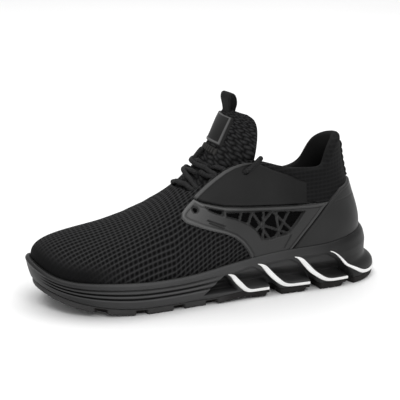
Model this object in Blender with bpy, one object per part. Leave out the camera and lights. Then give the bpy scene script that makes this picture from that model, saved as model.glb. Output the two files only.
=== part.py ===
"""Low safety shoe for the left foot: knitted upper with moulded cages, on a ribbed sole with spring leaves.

Frame: +X to the toe, +Y to the outer (lateral) side, +Z up. The origin is under the middle of the sole, on
the floor. While the pieces are worked out, x runs from 0 at the back of the heel to SOLE_LENGTH at the toe.
A place on the shoe is a turn round it, 0 at the toe, 0.25 on the outer side, 0.5 at the heel and 0.75 on the
inner side, and a share of the way up.
"""

import math

import bmesh
import bpy
import numpy as np

MM = 0.001

# Driving dimensions
SOLE_LENGTH = 302 * MM
GAP = 0.35 * MM
RIM = 4 * MM
TREAD = 5.5 * MM
TREAD_GROOVE = 3.5 * MM
INSOLE_THICK = 4 * MM
KNIT = 2.5 * MM
COLLAR_PAD = 8 * MM
CAGE_THICK = 1.6 * MM
TRIM_GAP = 0.5 * MM
TOE_SPRING = 15.5 * MM
HEEL_BEVEL = 1.5 * MM
ARCH_RISE = 2.5 * MM

# Mesh fineness
TURNS = 56
UPPER_STEPS = 8
INNER_STEPS = (8, 6, 4, 2, 1)

# Sole outline: distance from the heel, reach to the outer and to the inner side of the centre line (mm)
OUTLINE = (
    (30, 36.5, 36.0),
    (60, 41.0, 39.0),
    (104, 42.5, 35.5),
    (136, 45.5, 34.5),
    (166, 50.0, 38.0),
    (196, 54.0, 45.0),
    (218, 55.3, 49.0),
    (242, 53.0, 51.5),
    (266, 45.5, 49.0),
    (284, 33.5, 41.5),
    (296, 16.5, 29.0),
)
TOE_TIP_Y = -7 * MM

# Heights along the sole: distance from the heel, top of the rim, and floor that the insole lies on (mm)
HEIGHTS = (
    (0, 47.0, 31.0),
    (20, 44.5, 31.0),
    (50, 40.5, 30.0),
    (90, 38.6, 28.0),
    (136, 34.0, 24.5),
    (180, 29.0, 20.0),
    (215, 28.5, 18.5),
    (250, 29.5, 19.5),
    (280, 31.0, 22.0),
    (292, 34.0, 24.0),
    (302, 39.5, 26.0),
)

# Side of the sole: share of the height, inset at the forefoot, depth of the ribs' grooves, then inset at the
# heel and set-back from the heel's outline, less than 0 where the last leaf reaches behind it (mm)
SIDE = (
    (0.00, 5.2, 0.0, 1.0, -3.2),
    (0.08, 3.8, 0.0, 0.6, -3.2),
    (0.20, 3.0, 0.0, 0.3, -1.2),
    (0.28, 2.5, 0.0, 0.3, 2.4),
    (0.34, 2.2, 0.0, 0.4, 5.6),
    (0.395, 1.9, 1.5, 0.6, 6.4),
    (0.45, 1.7, 0.0, 0.9, 6.0),
    (0.515, 1.4, 0.0, 1.1, 5.7),
    (0.57, 1.2, 1.5, 0.9, 5.8),
    (0.625, 1.0, 0.0, 0.6, 6.1),
    (0.69, 0.8, 0.0, 0.2, 6.6),
    (0.745, 0.65, 1.1, 0.2, 7.1),
    (0.80, 0.4, 0.0, 0.2, 7.7),
    (0.93, 0.2, 0.0, 0.6, 9.6),
    (1.00, 1.5, 0.0, 1.6, 11.0),
)

# Radial sections of the upper: turn, opening edge (distance from the heel, half width, height on the outer
# and on the inner side), cheek (rise and bulge above the rim), brow (run and drop before the edge) (mm)
SECTIONS = (
    (0.000, 192, 0.0, 78.5, 78.5, 25, 0.0, 60, 30),
    (0.060, 191, 5.5, 79.0, 78.0, 23, 0.0, 57, 30),
    (0.110, 187, 11.0, 82.0, 80.5, 20, 0.0, 48, 27),
    (0.170, 176, 17.5, 91.5, 88.5, 15, 0.5, 30, 22),
    (0.220, 156, 24.0, 104.5, 101.0, 18, 1.0, 14, 22),
    (0.255, 138, 27.5, 111.0, 106.0, 21, 1.0, 8, 25),
    (0.285, 120, 29.5, 113.0, 104.0, 23, 1.0, 4, 28),
    (0.320, 99, 31.5, 106.0, 95.0, 24, 1.0, 3, 30),
    (0.370, 75, 32.0, 101.5, 88.0, 26, 1.0, 1, 26),
    (0.420, 55, 30.0, 103.5, 95.0, 27, 0.5, 0, 26),
    (0.440, 50, 27.5, 109.5, 103.0, 27, 0.5, 0, 27),
    (0.460, 44, 22.5, 117.5, 114.0, 28, 0.5, 0, 28),
    (0.480, 36, 13.0, 122.5, 121.0, 28, -1.0, 1, 31),
    (0.500, 31, 0.0, 123.5, 123.5, 28, -1.5, 2, 34),
)

# Spring leaves of the heel: start of the leaf under the band, its height, run of the slope, end of the foot
# and front corner of the foot, as distances from the heel (mm)
LEAVES = (
    (150, 28, 26, 108, 135),
    (122, 31, 33, 71, 97),
    (88, 33, 36, 36, 61),
    (54, 34, 40, 0, 28),
)
LEAF_FOOT = 9 * MM
LEAF_DEPTH = 16 * MM
HOLLOW_SKIN = 2.6 * MM
HOLLOW_TOP = 25 * MM
FRONT_POCKET = ((170, 11), (157, 27))
POCKET_DEPTH = 7 * MM

# Tongue along its length: distance from the heel and height of the middle line, half width, and how far the
# edges fall back and down (mm)
TONGUE = (
    (206, 65, 12, 1, 3),
    (190, 75.5, 20, 5, 8),
    (171, 95, 25, 11, 15),
    (155, 115, 24, 25, 16),
    (144, 134, 25.5, 28, 8),
    (135.5, 148, 26.5, 19, 4),
    (130, 154, 22, 9, 3),
)
TONGUE_THICK = 6 * MM
TONGUE_STEPS = 12
TONGUE_ACROSS = 10

# Tread grooves across the outsole: distance from the heel (mm)
FOREFOOT_GROOVES = (155.5, 184.5, 216.5, 248.5)
HEEL_GROOVES = (31, 66, 102)
GROOVE_WIDTH = 9 * MM
CHEVRON = 10 * MM

# Panels over the upper: side-view corners as distance from the heel and height (mm)
OUTER_CAGE = (
    (182.5, 73.5), (181.5, 77), (178, 80.5), (170.5, 86.5),
    (165, 83.4), (148, 79.4), (129, 77.4), (102, 75.4), (71, 74), (53, 74.5),
    (58.2, 70.5), (67.2, 61), (77.2, 50.5), (88, 38), (88.5, 30),
    (124, 30), (125.5, 38), (128.5, 43.5), (133, 49.5), (139, 54.5), (147, 58.5), (165, 64.5),
    (179.5, 70.3),
)
OUTER_WING = (
    (170.3, 87.6), (160, 96), (152, 102.3), (144, 107.8), (137, 111.3), (130, 113.3), (122, 114.2),
    (116.5, 112.5), (103, 105.8), (90, 100.8), (79, 95.3), (69, 91), (66.5, 85), (66.5, 75.2),
    (71, 74.8), (102, 76.2), (129, 78.2), (148, 80.2), (165, 84.3),
)
INNER_CAGE = (
    (181, 68), (176, 73.5), (163, 86), (155, 92), (145, 98.5), (136, 103), (131, 105), (126, 105.8),
    (119, 103.5), (97, 91.5), (75, 83.5), (60, 80.5), (46, 80.5),
    (51.2, 77.5), (58.2, 70.5), (67.2, 61), (77.2, 50.5), (88, 38), (88.5, 30),
    (124, 30), (125, 36), (128, 42), (133, 47.5), (139, 51.5), (147, 55), (169, 61), (177, 64.5),
)
COUNTER = (
    (-5, 30), (-5, 87), (19, 87), (40, 83.5), (50, 77.5), (57, 70.5), (66, 61), (76, 50.5), (86.7, 38),
    (87, 30),
)
HEEL_STRIP = ((0, 88), (0, 119), (60, 119), (60, 88))
HEEL_STRIP_WIDTH = 11 * MM

# Windows of the cages, and the struts across them from end to end (mm)
OUTER_POCKET = ((163.5, 81.6), (148, 77.4), (148, 72.6), (154, 74.4), (160, 77.4))
OUTER_WINDOW = (
    (145.8, 75.6), (113, 73), (75.5, 69.5), (85, 58), (91, 52), (100, 50.5), (108, 49), (115, 50),
    (120, 58), (126, 63), (137, 68.5), (145.8, 71.5),
)
OUTER_STRUTS = (
    (131, 77, 134.5, 66), (121.5, 75, 127.5, 61), (121.5, 72, 106, 47), (112, 75, 113.5, 47),
    (102.5, 74, 121, 56), (115, 62, 88, 51), (105, 73, 87, 54), (88, 73, 103, 48), (101, 74, 98.5, 48),
)
INNER_WINDOW = (
    (122, 95), (112, 91.5), (95, 84.5), (74, 76.2), (84, 63), (94, 54), (105, 50.5), (114, 48.5),
    (119, 53.5), (127, 60), (137, 63), (156, 67.5), (156.5, 70.5), (149, 79.5), (141, 85), (131, 91),
)
INNER_STRUTS = (
    (134, 93, 151, 63), (121, 98, 140, 60), (107, 93, 128, 57), (93, 86, 112, 46), (147, 85, 99, 49),
    (138, 90, 83, 60), (160, 68, 103, 90), (121, 53, 79, 80),
)
STRUT_WIDTH = 1.7 * MM

# Eyelets from the top down: distance from the heel and height (mm)
OUTER_EYELETS = ((127, 106.3), (171.5, 79))
INNER_EYELETS = ((126, 100.5), (142, 91.8), (156.5, 82), (169.5, 71.5))
EYELET_RADIUS = 2 * MM

# Laces: where they meet the outer and the inner side (distance from the heel, height), from the top down
# (mm), and where they cross, as shares of the tongue's length
OUTER_LACE_ENDS = ((128.5, 107), (151.5, 103.5), (166, 93.5))
INNER_LACE_ENDS = ((127, 101), (143, 92), (157.5, 82.5))
LACE_CROSSINGS = (0.45, 0.385, 0.315)
LACE_RADIUS = 2 * MM
LACE_CLEAR = 0.6 * MM
LACE_SLANT = 0.03
LACE_SPREAD = (-1.9, 1.7)

# The two runs of the lace, as (side, row) stops from end to end; rows count from the top, side 1 is the outer
LACE_RUNS = (
    ((1, 0), (-1, 1), (1, 2), (-1, 2)),
    ((-1, 2), (1, 1), (-1, 0)),
)

# Stripes on the leaves: width on the slope and on the foot
STRIPE_WIDE = 4.2 * MM
STRIPE_NARROW = 2.2 * MM
STRIPE_THICK = 0.8 * MM

# Trim on the tongue: start and end along it and share of its half width, then the pull loop in side view (mm)
LABEL_SPAN = (0.60, 0.84, 0.42)
KEEPER_SPAN = (0.54, 0.58, 0.38)
LOOP_PATH = (
    (133.8, 153.2), (136.3, 159), (136.2, 164.8), (131.3, 167), (125.8, 165.8), (124.3, 159.5), (125.3, 154.6),
)
LOOP_WIDTH = 18 * MM
LOOP_TURN = math.radians(10)
LOOP_THICK = 1.6 * MM

BLACK_RUBBER = (0.016, 0.016, 0.017)
BLACK_FOAM = (0.020, 0.020, 0.021)
BLACK_KNIT = (0.012, 0.012, 0.013)
GREY_LINER = (0.030, 0.030, 0.032)
CHARCOAL = (0.035, 0.035, 0.036)
WHITE = (0.85, 0.85, 0.85)


def spline(knots, values, at, closed=False):
    """Cubic curve through values at knots, with an even bend; a closed one repeats every whole turn."""
    knots = np.asarray(knots, float)
    values = np.asarray(values, float)
    at = np.asarray(at, float)
    count = len(knots)
    if closed:
        knots = np.append(knots, knots[0] + 1)
        values = np.concatenate([values, values[:1]])
        at = (at - knots[0]) % 1 + knots[0]
    step = np.diff(knots)
    slope = (np.diff(values, axis=0).T / step).T
    size = count if closed else count - 2
    matrix = np.zeros((size, size))
    right = np.zeros((size, *values.shape[1:]))
    for row in range(size):
        before = row - 1 if closed else row
        after = row if closed else row + 1
        matrix[row, row] = 2 * (step[before] + step[after])
        if closed or row > 0:
            matrix[row, row - 1] += step[before]
        if closed or row < size - 1:
            matrix[row, (row + 1) % size] += step[after]
        right[row] = 6 * (slope[after] - slope[before])
    bend = np.linalg.solve(matrix, right.reshape(size, -1)).reshape(right.shape)
    if closed:
        bend = np.concatenate([bend, bend[:1]])
    else:
        bend = np.concatenate([np.zeros_like(bend[:1]), bend, np.zeros_like(bend[:1])])
    span = np.clip(np.searchsorted(knots, at, side="right") - 1, 0, len(step) - 1)
    width = step[span]
    far = (at - knots[span]) / width
    near = 1 - far
    shape = far.shape + (1,) * (values.ndim - 1)
    far, near, width = far.reshape(shape), near.reshape(shape), width.reshape(shape)
    return (
        near * values[span]
        + far * values[span + 1]
        + ((near**3 - near) * bend[span] + (far**3 - far) * bend[span + 1]) * width**2 / 6
    )


def ease(value, start, end):
    """0 before start, 1 after end, and a smooth step between."""
    share = np.clip((np.asarray(value, float) - start) / (end - start), 0, 1)
    return share * share * (3 - 2 * share)


def turn_at(distance):
    """Turn on the outer side whose outline point is that far from the heel."""
    return np.arccos(np.clip(2 * np.asarray(distance, float) / SOLE_LENGTH - 1, -1, 1)) / (2 * math.pi)


def outline(turn):
    """Widest plan outline of the sole: (x, y) at each turn, from the rows of OUTLINE on both sides."""
    rows = np.array(OUTLINE[::-1]) * MM
    outer = turn_at(rows[:, 0])
    knots = np.concatenate([[0.0], outer, [0.5], 1 - outer[::-1]])
    across = np.concatenate([[TOE_TIP_Y], rows[:, 1], [0.0], -rows[::-1, 2]])
    turn = np.asarray(turn, float)
    along = SOLE_LENGTH * (1 + np.cos(2 * math.pi * turn)) / 2
    return np.stack([along, spline(knots, across, turn, closed=True)], -1)


def outward(turn):
    """Unit plan normal of the outline, pointing out of the shoe."""
    small = 1e-4
    along = outline(np.asarray(turn) + small) - outline(np.asarray(turn) - small)
    normal = np.stack([-along[..., 1], along[..., 0]], -1)
    normal = normal / np.linalg.norm(normal, axis=-1, keepdims=True)
    return -normal


def heel_share(turn):
    """1 at the back of the heel, fading to 0 towards the waist."""
    return np.maximum(0, -np.cos(2 * math.pi * np.asarray(turn))) ** 3


def ring(turn, inset, set_back, height):
    """Outline point moved in by inset, moved forward by set_back at the heel, and lifted to height."""
    plan = outline(turn) - np.asarray(inset)[..., None] * outward(turn)
    ahead = plan[..., 0] + np.asarray(set_back) * heel_share(turn)
    return np.stack([ahead, plan[..., 1], np.broadcast_to(height, ahead.shape)], -1)


def height_at(distance, column):
    rows = np.array(HEIGHTS) * MM
    return spline(rows[:, 0], rows[:, column], distance)


def rim_height(turn):
    return height_at(outline(turn)[..., 0], 1)


def floor_height(turn):
    return height_at(outline(turn)[..., 0], 2)


def ground(distance):
    """Height of the tread: flat under heel and ball, lifted at the toe, the arch and the back edge."""
    distance = np.asarray(distance, float)
    toe = np.clip((distance - 214 * MM) / (88 * MM), 0, 1) ** 2 * TOE_SPRING
    heel = np.clip((26 * MM - distance) / (26 * MM), 0, 1) ** 2 * HEEL_BEVEL
    arch = np.clip(1 - np.abs(distance - 134 * MM) / (30 * MM), 0, 1)
    return toe + heel + ease(arch, 0, 1) * ARCH_RISE


def side_ring(turn, share, proud=0.0):
    """Point on the side of the sole, a share of the way from the tread up to the rim."""
    turn = np.asarray(turn, float)
    rows = np.array(SIDE)
    fore = np.interp(share, rows[:, 0], rows[:, 1]) * MM
    groove = np.interp(share, rows[:, 0], rows[:, 2]) * MM
    rear = np.interp(share, rows[:, 0], rows[:, 3]) * MM
    set_back = np.interp(share, rows[:, 0], rows[:, 4]) * MM
    along = outline(turn)[..., 0]
    front = ease(along, 140 * MM, 175 * MM)
    ribbed = front * ease(SOLE_LENGTH - along, 4 * MM, 16 * MM)
    inset = fore * front + rear * (1 - front) + groove * ribbed - proud
    low = ground(along) + TREAD + GAP
    return ring(turn, inset, set_back, low + (rim_height(turn) - low) * share)


def upper_foot(turn, lift):
    """Outer face of the upper inside the rim, lifted from the floor (0) to the top of the rim (1)."""
    low = floor_height(turn) + GAP
    inset = np.full(np.shape(turn), RIM + GAP)
    return ring(turn, inset, SIDE[-1][4] * MM, low + (rim_height(turn) - low) * lift)


def upper_point(turn, rise):
    """Outer face of the upper from the rim (0) to the opening's edge (1): a cubic arch in each section."""
    turn = np.asarray(turn, float)
    rows = np.array(SECTIONS)
    knots = np.concatenate([rows[:, 0], 1 - rows[-2:0:-1, 0]])
    edge_outer = rows[:, [1, 2, 3]]
    edge_inner = rows[-2:0:-1][:, [1, 2, 4]] * (1, -1, 1)
    edge = spline(knots, np.concatenate([edge_outer, edge_inner]) * MM, turn, closed=True)
    cheek_brow = spline(knots, np.concatenate([rows[:, 5:], rows[-2:0:-1, 5:]]) * MM, turn, closed=True)
    foot = upper_foot(turn, 1.0)
    plan = foot[..., :2] - edge[..., :2]
    plan = plan / np.linalg.norm(plan, axis=-1, keepdims=True)
    cheek = foot.copy()
    cheek[..., :2] += outward(turn) * cheek_brow[..., 1:2]
    cheek[..., 2] += cheek_brow[..., 0]
    brow = edge.copy()
    brow[..., :2] += plan * cheek_brow[..., 2:3]
    brow[..., 2] -= cheek_brow[..., 3]
    rise = np.asarray(rise, float)[..., None]
    rest = 1 - rise
    return rest**3 * foot + 3 * rest**2 * rise * cheek + 3 * rest * rise**2 * brow + rise**3 * edge


def upper_normal(turn, rise):
    """Unit normal of the upper's outer face, pointing out."""
    small = 1e-3
    turn = np.asarray(turn, float)
    rise = np.asarray(rise, float)
    low, high = np.clip(rise - small, 0, 1), np.clip(rise + small, 0, 1)
    round_ = upper_point(turn + small, rise) - upper_point(turn - small, rise)
    up = upper_point(turn, high) - upper_point(turn, low)
    normal = np.cross(round_, up)
    return normal / np.linalg.norm(normal, axis=-1, keepdims=True)


def wall(turn, rise):
    """Thickness of the upper: the knit alone, and a padded collar round the ankle."""
    ankle = ease(np.abs(np.asarray(turn) - 0.5), 0.24, 0.17)
    return KNIT + (COLLAR_PAD - KNIT) * ankle * ease(rise, 0.45, 0.95)


def offset_upper(turn, rise, out):
    """Point of the upper's outer face moved out along its normal."""
    turn, rise = np.broadcast_arrays(turn, rise)
    return upper_point(turn, rise) + upper_normal(turn, rise) * np.asarray(out)[..., None]


def clear_scene():
    for obj in list(bpy.data.objects):
        bpy.data.objects.remove(obj, do_unlink=True)


def finish(name, colour, roughness):
    """Material of one piece."""
    made = bpy.data.materials.new(name)
    made.use_nodes = True
    shader = made.node_tree.nodes["Principled BSDF"]
    shader.inputs["Base Color"].default_value = (*colour, 1)
    shader.inputs["Roughness"].default_value = roughness
    return made


def add_piece(name, points, faces, material, parent):
    """Closed mesh object, shaded smooth, with its faces pointing out."""
    mesh = bpy.data.meshes.new(name)
    mesh.from_pydata([tuple(p) for p in points], [], faces)
    work = bmesh.new()
    work.from_mesh(mesh)
    bmesh.ops.recalc_face_normals(work, faces=work.faces)
    bmesh.ops.triangulate(work, faces=[f for f in work.faces if len(f.verts) > 4])
    work.to_mesh(mesh)
    work.free()
    mesh.shade_smooth()
    mesh.set_sharp_from_angle(angle=math.radians(40))
    obj = bpy.data.objects.new(name, mesh)
    bpy.context.scene.collection.objects.link(obj)
    obj.parent = parent
    if material:
        mesh.materials.append(material)
    return obj


def strip_faces(rings, closed):
    """Quads between neighbouring rings of TURNS points, and from last to first on a closed set."""
    faces = []
    for row in range(rings if closed else rings - 1):
        after = (row + 1) % rings
        here, there = row * TURNS, after * TURNS
        for turn in range(TURNS):
            beside = (turn + 1) % TURNS
            faces.append((here + turn, here + beside, there + beside, there + turn))
    return faces


def cap_faces(row):
    """Faces across a ring, from its outer to its inner side, so that a cap follows the foot's length."""
    start = row * TURNS
    half = TURNS // 2
    faces = [(start, start + 1, start + TURNS - 1)]
    for turn in range(1, half - 1):
        faces.append((start + turn, start + turn + 1, start + TURNS - turn - 1, start + TURNS - turn))
    faces.append((start + half - 1, start + half, start + half + 1))
    return faces


def add_stack(name, rings, material, parent):
    """Solid of stacked rings with a cap across the first and the last."""
    faces = strip_faces(len(rings), closed=False) + cap_faces(0) + cap_faces(len(rings) - 1)
    return add_piece(name, np.concatenate(rings), faces, material, parent)


def add_prism(name, corners, low, high, parent):
    """Cutter: a side-view outline of (x, z) corners carried from y = low to y = high."""
    count = len(corners)
    points = [(x, y, z) for y in (low, high) for x, z in corners]
    faces = [tuple(range(count)), tuple(range(count, 2 * count))]
    faces += [(i, (i + 1) % count, count + (i + 1) % count, count + i) for i in range(count)]
    return hide(add_piece(name, points, faces, None, parent))


def hide(cutter):
    """Keep a cutter out of the part."""
    cutter.hide_render = True
    cutter.display_type = "WIRE"
    return cutter


def cut(obj, cutter, operation="DIFFERENCE"):
    modifier = obj.modifiers.new(f"{operation.lower()} {cutter.name}", "BOOLEAN")
    modifier.operation = operation
    modifier.object = cutter
    modifier.solver = "EXACT"


def all_turns():
    return np.arange(TURNS) / TURNS


def leaf_top(leaf, distance):
    """Height of a leaf's upper edge: an S from the band down to its foot."""
    start, top, run = (value * MM for value in leaf[:3])
    return top - (top - LEAF_FOOT) * ease(start - np.asarray(distance), 0, run)


def leaf_front(leaf, share):
    """Front edge of a leaf: a parabola, upright at its foot, that leans forward up to the band."""
    start, top, _, _, corner = (value * MM for value in leaf)
    return corner + (start + 5 * MM - corner) * share**2, (top - 1 * MM) * share


def leaf_back(leaf, height):
    """Distance from the heel at which a leaf's upper edge stands that high: leaf_top read the other way."""
    start, _, run = (value * MM for value in leaf[:3])
    along = start - np.linspace(0, run, 60)
    return float(np.interp(height, leaf_top(leaf, along)[::-1], along[::-1]))


def hollow_rows(ahead, behind):
    """Levels of the hollow between two leaves, from the tread to the band: x and height at back and front."""
    end = ahead[3] * MM
    below = -3 * MM
    shelf = LEAF_FOOT + 1.5 * MM
    rows = [(behind[4] * MM, below, end, below)]
    low, height = leaf_front(behind, 0.35)
    rows.append((low, height, end, shelf))
    top = ahead[1] * MM
    for share in (0.36, 0.52, 0.68, 0.84, 1.0):
        low, height = leaf_front(behind, share)
        lift = shelf + (top - shelf) * (share - 0.36) / 0.64
        rows.append((low, height, leaf_back(ahead, lift - 1.5 * MM), lift))
    return rows


def pocket_rows():
    """Levels of the shallow pocket between the forefoot's side and the first leaf."""
    (low_front, low), (high_front, high) = FRONT_POCKET
    rows = []
    for share in (0.0, 0.5, 1.0):
        near, height = leaf_front(LEAVES[0], 0.3 + 0.7 * share)
        front = low_front + (high_front - low_front) * share
        rows.append((near, height, front * MM, (low + (high - low) * share) * MM))
    return rows


def add_hollow(name, rows, depth, sign, parent):
    """Cutter through the side of the sole: deep at the tread, HOLLOW_SKIN deep beside the cup's floor."""
    far = 90 * MM
    points = []
    for low, low_height, high, high_height in rows:
        for x, z in ((low, low_height), (high, high_height)):
            turn = float(turn_at(x))
            side = abs(float(outline(turn if sign > 0 else 1 - turn)[1]))
            reach = HOLLOW_SKIN + (depth - HOLLOW_SKIN) * (1 - float(ease(z, 12 * MM, HOLLOW_TOP)))
            points += [(x, sign * (side - reach), z), (x, sign * far, z)]
    faces = [(0, 1, 3, 2), tuple(len(points) + i for i in (-4, -3, -1, -2))]
    for row in range(len(rows) - 1):
        a = 4 * row
        faces += [(a + i, a + j, a + 4 + j, a + 4 + i) for i, j in ((0, 1), (1, 3), (3, 2), (2, 0))]
    halves = [half for a, b, c, d in faces for half in ((a, b, c), (a, c, d))]
    return hide(add_piece(name, points, halves, None, parent))


def make_hollow_cutters(parent):
    """Cutters on both sides: hollows between the leaves, and shallow pockets ahead of the first leaf."""
    hollows, pockets = [], []
    for side, sign in (("outer", 1), ("inner", -1)):
        for number, (ahead, behind) in enumerate(zip(LEAVES, LEAVES[1:]), 1):
            rows = hollow_rows(ahead, behind)
            hollows.append(add_hollow(f"hollow_{side}_{number}", rows, LEAF_DEPTH, sign, parent))
        pockets.append(add_hollow(f"pocket_{side}", pocket_rows(), POCKET_DEPTH, sign, parent))
    return hollows, pockets


def make_midsole(parent, cutters):
    """Moulded cup sole: ribbed sides, toe bumper, a rim that holds the upper, and leaves free at the heel."""
    turn = all_turns()
    rings = [side_ring(turn, row[0]) for row in SIDE]
    set_back = SIDE[-1][4] * MM
    inside = np.full(TURNS, RIM)
    rings.append(ring(turn, inside, set_back, rim_height(turn)))
    rings.append(ring(turn, inside, set_back, floor_height(turn)))
    midsole = add_stack("midsole", rings, finish("moulded foam", BLACK_FOAM, 0.5), parent)
    for cutter in cutters:
        cut(midsole, cutter)
    return midsole


def groove_prism(distance, width, depth_top):
    """Points and faces of one tread groove: a plan chevron, from under the tread up to depth_top."""
    reach = 80 * MM
    half = width / 2
    plan = [
        (distance - half, -reach),
        (distance - half + CHEVRON, 0.0),
        (distance - half, reach),
        (distance + half, reach),
        (distance + half + CHEVRON, 0.0),
        (distance + half, -reach),
    ]
    low = -5 * MM
    points = [(x, y, z) for z in (low, depth_top) for x, y in plan]
    sides = [(i, (i + 1) % 6, 6 + (i + 1) % 6, 6 + i) for i in range(6)]
    return points, [tuple(range(6)), tuple(range(6, 12))] + sides


def make_outsole(parent, cutters):
    """Rubber tread with lugs: chevron grooves under the ball, and pads under the leaves."""
    turn = all_turns()
    along = outline(turn)[:, 0]
    front = ease(along, 140 * MM, 175 * MM)
    inset = SIDE[0][1] * MM * front + SIDE[0][3] * MM * (1 - front)
    set_back = SIDE[0][4] * MM
    rings = [
        ring(turn, inset + 1.2 * MM, set_back, ground(along)),
        ring(turn, inset + 0.2 * MM, set_back, ground(along) + 1.0 * MM),
        ring(turn, inset, set_back, ground(along) + TREAD),
    ]
    outsole = add_stack("outsole", rings, finish("tread rubber", BLACK_RUBBER, 0.65), parent)
    for number, place in enumerate(FOREFOOT_GROOVES + HEEL_GROOVES):
        distance = place * MM
        points, faces = groove_prism(distance, GROOVE_WIDTH, float(ground(distance)) + TREAD_GROOVE)
        cut(outsole, hide(add_piece(f"groove_{number}", points, faces, None, parent)))
    for cutter in cutters:
        cut(outsole, cutter)
    return outsole


def make_upper(parent):
    """Knitted upper: one hollow wall, open underneath and at the collar and throat."""
    turn = all_turns()
    rise = np.linspace(0, 1, UPPER_STEPS + 1)
    outer = [upper_foot(turn, 0.0)] + [upper_point(turn, np.full(TURNS, share)) for share in rise]
    inner = []
    for step in INNER_STEPS:
        share = rise[step]
        thick = wall(turn, share)
        inner.append(offset_upper(turn, share, -thick))
    edge = np.full(TURNS, 1.0)
    thick = wall(turn, 1.0)
    crown = offset_upper(turn, edge, -thick / 2)
    crown[:, 2] += thick * 0.45
    thin = np.full(TURNS, RIM + GAP + KNIT)
    foot = ring(turn, thin, SIDE[-1][4] * MM, floor_height(turn) + GAP)
    rings = outer + [crown] + inner + [foot]
    faces = strip_faces(len(rings), closed=True)
    return add_piece("upper", np.concatenate(rings), faces, finish("knit", BLACK_KNIT, 0.9), parent)


def make_insole(parent):
    """Flat sock on the floor of the cup, inside the upper's foot."""
    turn = all_turns()
    inset = np.full(TURNS, RIM + GAP + KNIT + GAP)
    set_back = SIDE[-1][4] * MM
    low = floor_height(turn) + GAP
    rings = [ring(turn, inset, set_back, low), ring(turn, inset + 0.8 * MM, set_back, low + INSOLE_THICK)]
    return add_stack("insole", rings, finish("insole", GREY_LINER, 0.95), parent)


def tongue_point(along, across, depth):
    """Tongue face: a middle line in side view, wrapped back to its edges, sunk by depth along its normal."""
    rows = np.array(TONGUE) * MM
    knots = np.linspace(0, 1, len(rows))
    along, across = np.broadcast_arrays(along, across)
    middle = spline(knots, rows, along)
    before, after = np.clip(along - 1e-3, 0, 1), np.clip(along + 1e-3, 0, 1)
    run = spline(knots, rows[:, :2], after) - spline(knots, rows[:, :2], before)
    run = run / np.linalg.norm(run, axis=-1, keepdims=True)
    wrap = 1 - np.cos(across * math.pi / 2)
    x = middle[..., 0] - middle[..., 3] * wrap - run[..., 1] * depth
    z = middle[..., 1] - middle[..., 4] * wrap + run[..., 0] * depth
    return np.stack([x, middle[..., 2] * np.sin(across * math.pi / 2), z], -1)


def make_tongue(parent):
    """Padded tongue: one curved sheet with round edges, under the throat and up past the collar."""
    along = np.linspace(0, 1, TONGUE_STEPS + 1)
    across = np.linspace(-1, 1, TONGUE_ACROSS + 1)
    grid_along, grid_across = np.meshgrid(along, across, indexing="ij")
    # The faces draw together at the edges, so that the pad is thickest in the middle.
    plump = 0.5 + 0.5 * np.sqrt(np.clip(1 - grid_across**4, 0, 1))
    front = tongue_point(grid_along, grid_across, (1 - plump) * TONGUE_THICK / 2)
    back = tongue_point(grid_along, grid_across, (1 + plump) * TONGUE_THICK / 2)
    return slab("tongue", front, back, finish("tongue knit", BLACK_KNIT, 0.9), parent)


def upper_at(place, sign):
    """Turn and rise of the upper at (distance from the heel, height) on side 1 (outer) or -1 (inner)."""
    turn, rise = np.meshgrid(np.linspace(0.02, 0.48, 231), np.linspace(0, 1, 201), indexing="ij")
    turn = turn if sign > 0 else 1 - turn
    found = upper_point(turn, rise)
    away = (found[..., 0] - place[0] * MM) ** 2 + (found[..., 2] - place[1] * MM) ** 2
    best = np.unravel_index(away.argmin(), away.shape)
    return turn[best], rise[best]


def slab(name, front, back, material, parent):
    """Closed solid between two point grids of the same size."""
    rows, cols = front.shape[:2]
    count = rows * cols
    faces = []
    for r in range(rows - 1):
        for c in range(cols - 1):
            corner = r * cols + c
            quad = (corner, corner + 1, corner + cols + 1, corner + cols)
            faces += [quad, tuple(count + i for i in quad)]
    border = [r * cols for r in range(rows)] + [(rows - 1) * cols + c for c in range(1, cols)]
    border += [r * cols + cols - 1 for r in range(rows - 2, -1, -1)] + list(range(cols - 2, 0, -1))
    for here, there in zip(border, border[1:] + border[:1]):
        faces.append((here, there, count + there, count + here))
    points = np.concatenate([front.reshape(-1, 3), back.reshape(-1, 3)])
    return add_piece(name, points, faces, material, parent)


def add_shell(name, span, thick, material, parent):
    """Skin over the upper between two turns, from just above the rim to the opening's edge."""
    first, last = (round(turn * TURNS) for turn in span)
    turn = np.arange(first, last + 1) / TURNS
    rise = np.linspace(0, 1, UPPER_STEPS + 1)
    rise[0] = 0.012
    turn, rise = np.meshgrid(turn, rise, indexing="ij")
    near = offset_upper(turn, rise, np.full(turn.shape, TRIM_GAP))
    far = offset_upper(turn, rise, np.full(turn.shape, TRIM_GAP + thick))
    return slab(name, far, near, material, parent)


def side_span(sign):
    """Range of y on one side of the shoe, for a cutter."""
    return (0.0, 90 * MM) if sign > 0 else (-90 * MM, 0.0)


def scaled(corners):
    return [(x * MM, z * MM) for x, z in corners]


def strut_corners(strut):
    """Side-view rectangle of one strut."""
    x0, z0, x1, z1 = (value * MM for value in strut)
    length = math.hypot(x1 - x0, z1 - z0)
    across_x = -(z1 - z0) / length * STRUT_WIDTH / 2
    across_z = (x1 - x0) / length * STRUT_WIDTH / 2
    return [
        (x0 + across_x, z0 + across_z),
        (x1 + across_x, z1 + across_z),
        (x1 - across_x, z1 - across_z),
        (x0 - across_x, z0 - across_z),
    ]


def cut_window(panel, corners, struts, sign):
    """Open a window in a panel, and leave its struts standing."""
    reach = side_span(sign)
    window = add_prism(f"{panel.name}_window", scaled(corners), *reach, panel.parent)
    for number, strut in enumerate(struts):
        cut(window, add_prism(f"{panel.name}_strut_{number}", strut_corners(strut), *reach, panel.parent))
    cut(panel, window)


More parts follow.
